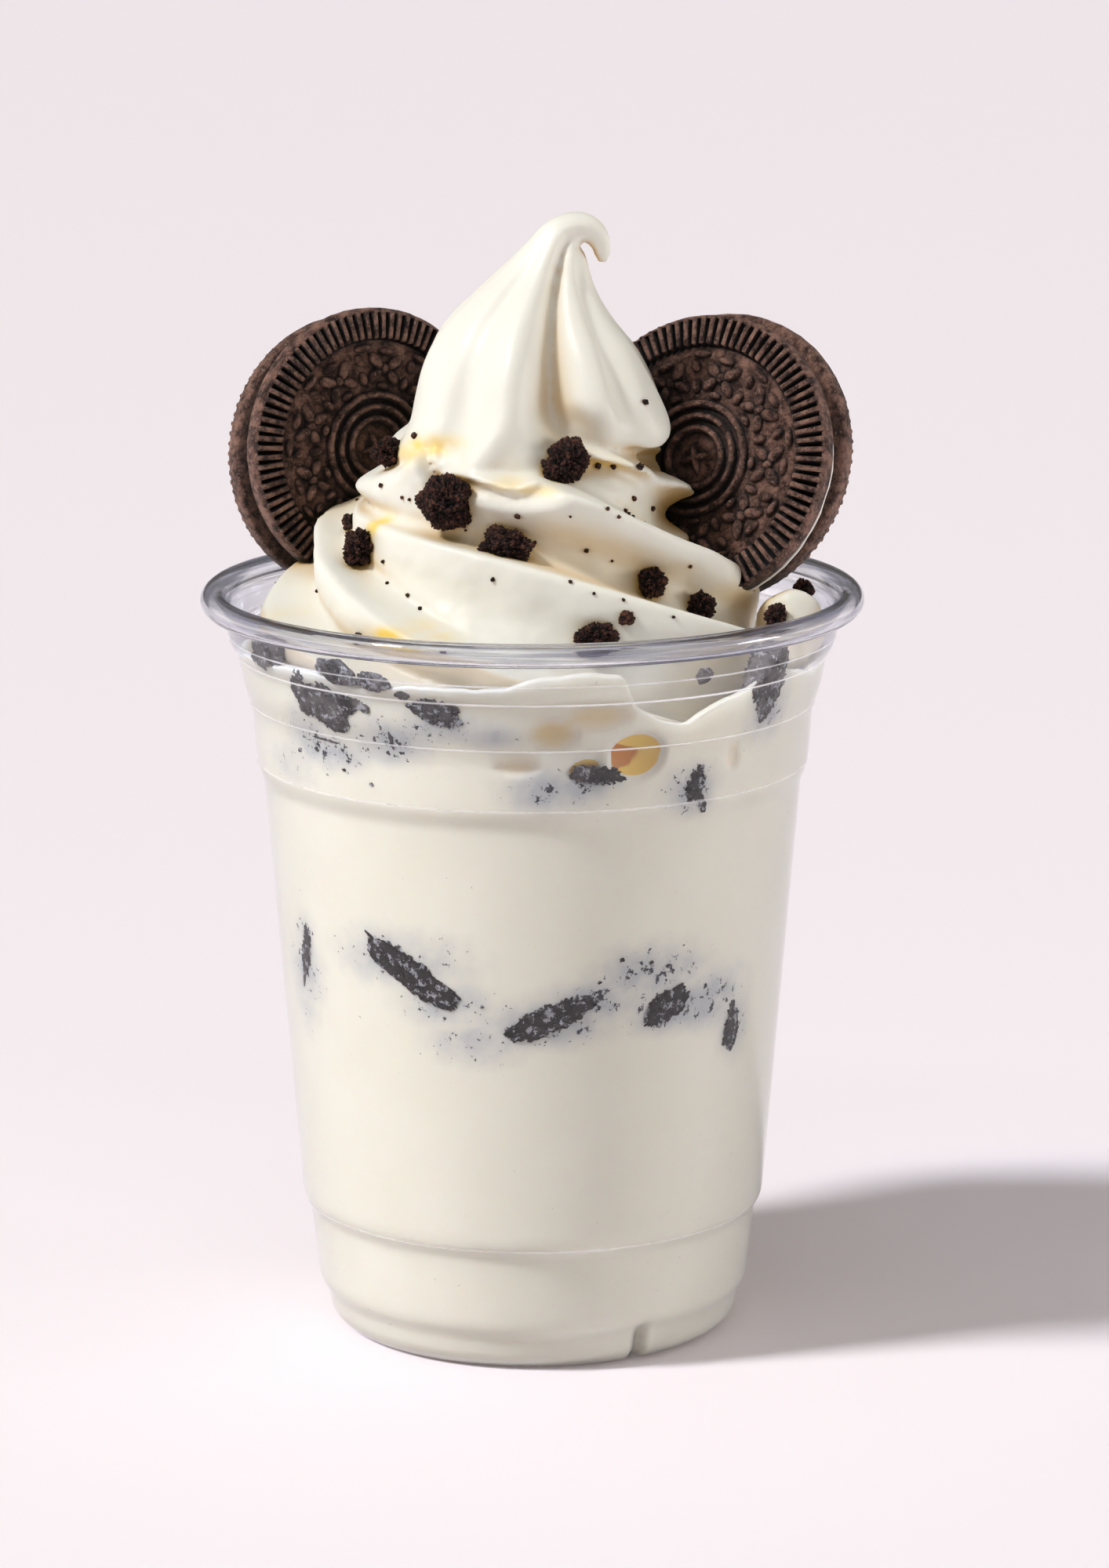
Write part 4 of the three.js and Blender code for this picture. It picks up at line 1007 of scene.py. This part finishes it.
# Smaller bits pressed against the wall, all in one mesh: angle, height, its width and height,
# and turn.
PRESSED_DEPTH = 1.6
PRESSED = [
    (-38.5, 105.6, 7.6, 3.4, -6), (-30.5, 104.9, 5.6, 2.8, -4), (-24.5, 103.6, 2.6, 2.2, 0),
    (-35.0, 101.2, 4.6, 2.6, -14), (-48.5, 104.3, 2.4, 1.6, 0), (33.5, 105.6, 3.0, 2.0, 20),
    (36.6, 86.6, 1.6, 4.4, 24), (9.0, 91.6, 2.0, 1.0, 0), (-54.5, 92.0, 1.2, 0.9, 0),
    (-48.5, 92.8, 1.1, 0.9, 0), (-41.0, 93.5, 1.0, 0.8, 0), (-41.0, 90.5, 0.9, 0.7, 0),
    (-34.0, 89.0, 0.9, 0.8, 0), (-28.5, 96.6, 0.8, 3.4, 6), (-45.0, 94.6, 7.0, 0.7, -3),
    (20.0, 63.6, 0.9, 0.8, 0), (27.0, 62.8, 1.0, 0.8, 0), (15.0, 60.5, 0.8, 0.7, 0),
    (42.0, 57.8, 0.9, 0.9, 0), (-11.0, 57.0, 0.8, 0.6, 0),
]
pressed_bits = []
for i, (angle, height, wide, tall, turn) in enumerate(PRESSED):
    middle = on_circle(angle, wall_outside(height) - PET_WALL - 0.2, height)
    bm = chunk((wide, tall, PRESSED_DEPTH), turn, angle, middle, i + 61, 0.25)
    for vert in bm.verts:
        radius = round_axis(vert.co)[1]
        vert.co.xy *= min(radius, wall_outside(vert.co.z) - PET_WALL + INTO_WALL + 0.02) / radius
    pressed_bits.append(bm)
dress(joined(*pressed_bits), "pressed_crumbs", soaked)


# ---- Loose crumbs ----
# Fine crumbs of the same wafer shaken over the swirl, from 0.4 to 2.4 mm, with two larger bits
# beside the curl on the right. They stick to the yogurt, and are one mesh in all.
# Each: angle, height and width. A level ray towards the axis finds the yogurt that carries it.
CRUMBS = [
    (-56.8, 135.7, 1.0), (-64.5, 128.4, 0.7), (-53.4, 127.2, 0.6), (-49.8, 127.1, 0.5),
    (-4.9, 126.1, 0.8), (1.1, 122.0, 0.6), (-53.0, 118.2, 0.6), (-11.3, 117.6, 0.6),
    (10.8, 117.5, 0.6), (20.5, 120.7, 0.7), (-39.5, 114.2, 0.6), (-33.8, 112.7, 0.6),
    (-41.9, 109.4, 1.3), (-18.6, 109.1, 0.9), (-49.5, 115.3, 0.5), (34.5, 132.0, 0.9),
    (40.3, 131.9, 0.9), (50.4, 131.4, 1.1), (48.4, 126.9, 0.8), (65.3, 124.6, 0.8),
    (42.4, 125.4, 0.7), (44.3, 124.9, 0.6), (46.0, 124.2, 0.7), (45.4, 123.6, 0.7),
    (23.0, 127.5, 0.6), (26.8, 126.2, 0.6), (16.8, 115.9, 0.5), (24.3, 114.9, 0.5),
    (58.8, 140.5, 0.9), (4.8, 133.1, 0.8), (24.5, 112.4, 2.0), (-88.0, 121.4, 2.4),
    (3.0, 108.6, 0.5), (30.0, 119.0, 0.4), (-70.0, 113.0, 0.5), (-25.0, 123.5, 0.4),
    (12.0, 126.5, 0.4), (36.0, 112.2, 0.5), (55.0, 117.5, 0.6),
]
# The back gets its share of small ones.
BACK_CRUMBS, BACK_WIDTHS = 70, (0.4, 0.5, 0.7, 1.0)
# Each bit beside the curl: its size, turn, angle, radius and height.
BITS = [((3.8, 3.2, 3.2), 20, 70, 37.6, 109.6), ((3.6, 3.2, 3.0), -10, 82, 40.2, 112.0)]
crumbs_bm = bmesh.new()
shake = random.Random(5)
for _ in range(BACK_CRUMBS):
    CRUMBS.append((
        shake.uniform(95, 265), shake.triangular(106, 136, 112), shake.choice(BACK_WIDTHS)))
for angle, height, width in CRUMBS:
    start, end = on_circle(angle, 60, height), on_circle(angle, 0, height)
    hit, normal, _, _ = swirl_tree.ray_cast(start, (end - start).normalized())
    # None lies on the rim or falls past the swirl.
    if hit is None or round_axis(hit)[1] > 43:
        continue
    faces = 2 if width < 2 else 4
    made = bmesh.ops.create_icosphere(crumbs_bm, subdivisions=faces, radius=width / 2)
    for vert in made["verts"]:
        unit = vert.co.normalized()
        vert.co *= 1 + 0.45 * noise.noise(unit * 1.5 + hit) + 0.3 * noise.noise(unit * 4 + hit)
    bmesh.ops.translate(crumbs_bm, verts=made["verts"], vec=hit + normal * width * 0.2)
beside = [
    chunk(size, turn, angle, on_circle(angle, out, height), i + 91)
    for i, (size, turn, angle, out, height) in enumerate(BITS)]
dress(joined(crumbs_bm, *beside), "loose_crumbs", broken)


# ---- Floor ----
# A plain pale studio floor, matt as painted board. It is 12 m wide, so that its edge is far out
# of view, and it isn't part of the object.
floor_bm = bmesh.new()
bmesh.ops.create_grid(floor_bm, x_segments=1, y_segments=1, size=6)
floor_mesh = bpy.data.meshes.new("floor")
floor_bm.to_mesh(floor_mesh)
floor_bm.free()
floor_paint = bare_material("pale floor")
matt = node(floor_paint, "ShaderNodeBsdfPrincipled", {
    "Base Color": linear("#fff7fd"), "Roughness": 0.9})
node(floor_paint, "ShaderNodeOutputMaterial", {"Surface": matt.outputs[0]})
floor_mesh.materials.append(floor_paint)
floor = put("floor", floor_mesh)


# ---- Light ----
# A broad soft key from the upper left, a weaker lamp from the right, a little light from above,
# a long softbox mirrored in the cup's steps and rim, beside lines painted there, and a pale room.
SOFTBOX_LONG, SOFTBOX_WIDE, SOFTBOX_POWER = 1.1, 0.1, 1.3
SOFTBOX_AT, SOFTBOX_FACES = (-0.15, -0.75, 1.05), (-0.15, -0.75, 0.95)


def sun(name, azimuth, elevation, strength, soft):
    """A distant lamp. Its azimuth is from the front towards the right, its softness an angle."""
    lamp = bpy.data.lights.new(name, "SUN")
    lamp.energy = strength
    lamp.angle = math.radians(soft)
    rise = math.radians(elevation)
    towards = on_circle(azimuth, math.cos(rise), math.sin(rise))
    put(name, lamp).rotation_euler = towards.to_track_quat("Z", "Y").to_euler()


sun("key", -68, 50, 2.35, 8)
sun("top", 20, 84, 0.36, 50)
sun("side", 84, 3, 0.95, 20)
softbox = bpy.data.lights.new("softbox", "AREA")
softbox.shape = "RECTANGLE"
softbox.size, softbox.size_y, softbox.energy = SOFTBOX_LONG, SOFTBOX_WIDE, SOFTBOX_POWER
tilted = Vector(SOFTBOX_FACES).to_track_quat("Z", "Y").to_matrix().to_4x4()
put("softbox", softbox).matrix_world = Matrix.Translation(SOFTBOX_AT) @ tilted
room = bpy.data.worlds.new("room")
room.use_nodes = True
room.node_tree.nodes["Background"].inputs["Color"].default_value = linear("#f6eee2")
# White cards stand on both sides: low down, up to 17 degrees, the room is brighter there.
facing = node(room, "ShaderNodeTexCoord").outputs["Generated"]
split = node(room, "ShaderNodeSeparateXYZ", {0: facing})
low_down = node(room, "ShaderNodeMapRange", {
    "Value": split.outputs[2], "From Min": 0.3, "From Max": 0.05})
left = node(room, "ShaderNodeMapRange", {
    "Value": split.outputs[0], "From Min": -0.5, "From Max": -0.9, "To Max": 3.6})
right = node(room, "ShaderNodeMapRange", {
    "Value": split.outputs[0], "From Min": 0.5, "From Max": 0.9, "To Max": 3.1})
cards = node(room, "ShaderNodeMath", {0: left.outputs[0], 1: right.outputs[0]}, operation="ADD")
strength = node(room, "ShaderNodeMath", {
    0: low_down.outputs[0], 1: cards.outputs[0], 2: 0.13}, operation="MULTIPLY_ADD")
room.node_tree.links.new(strength.outputs[0], room.node_tree.nodes["Background"].inputs["Strength"])
bpy.context.scene.world = room
bpy.context.scene.view_settings.view_transform = "Standard"
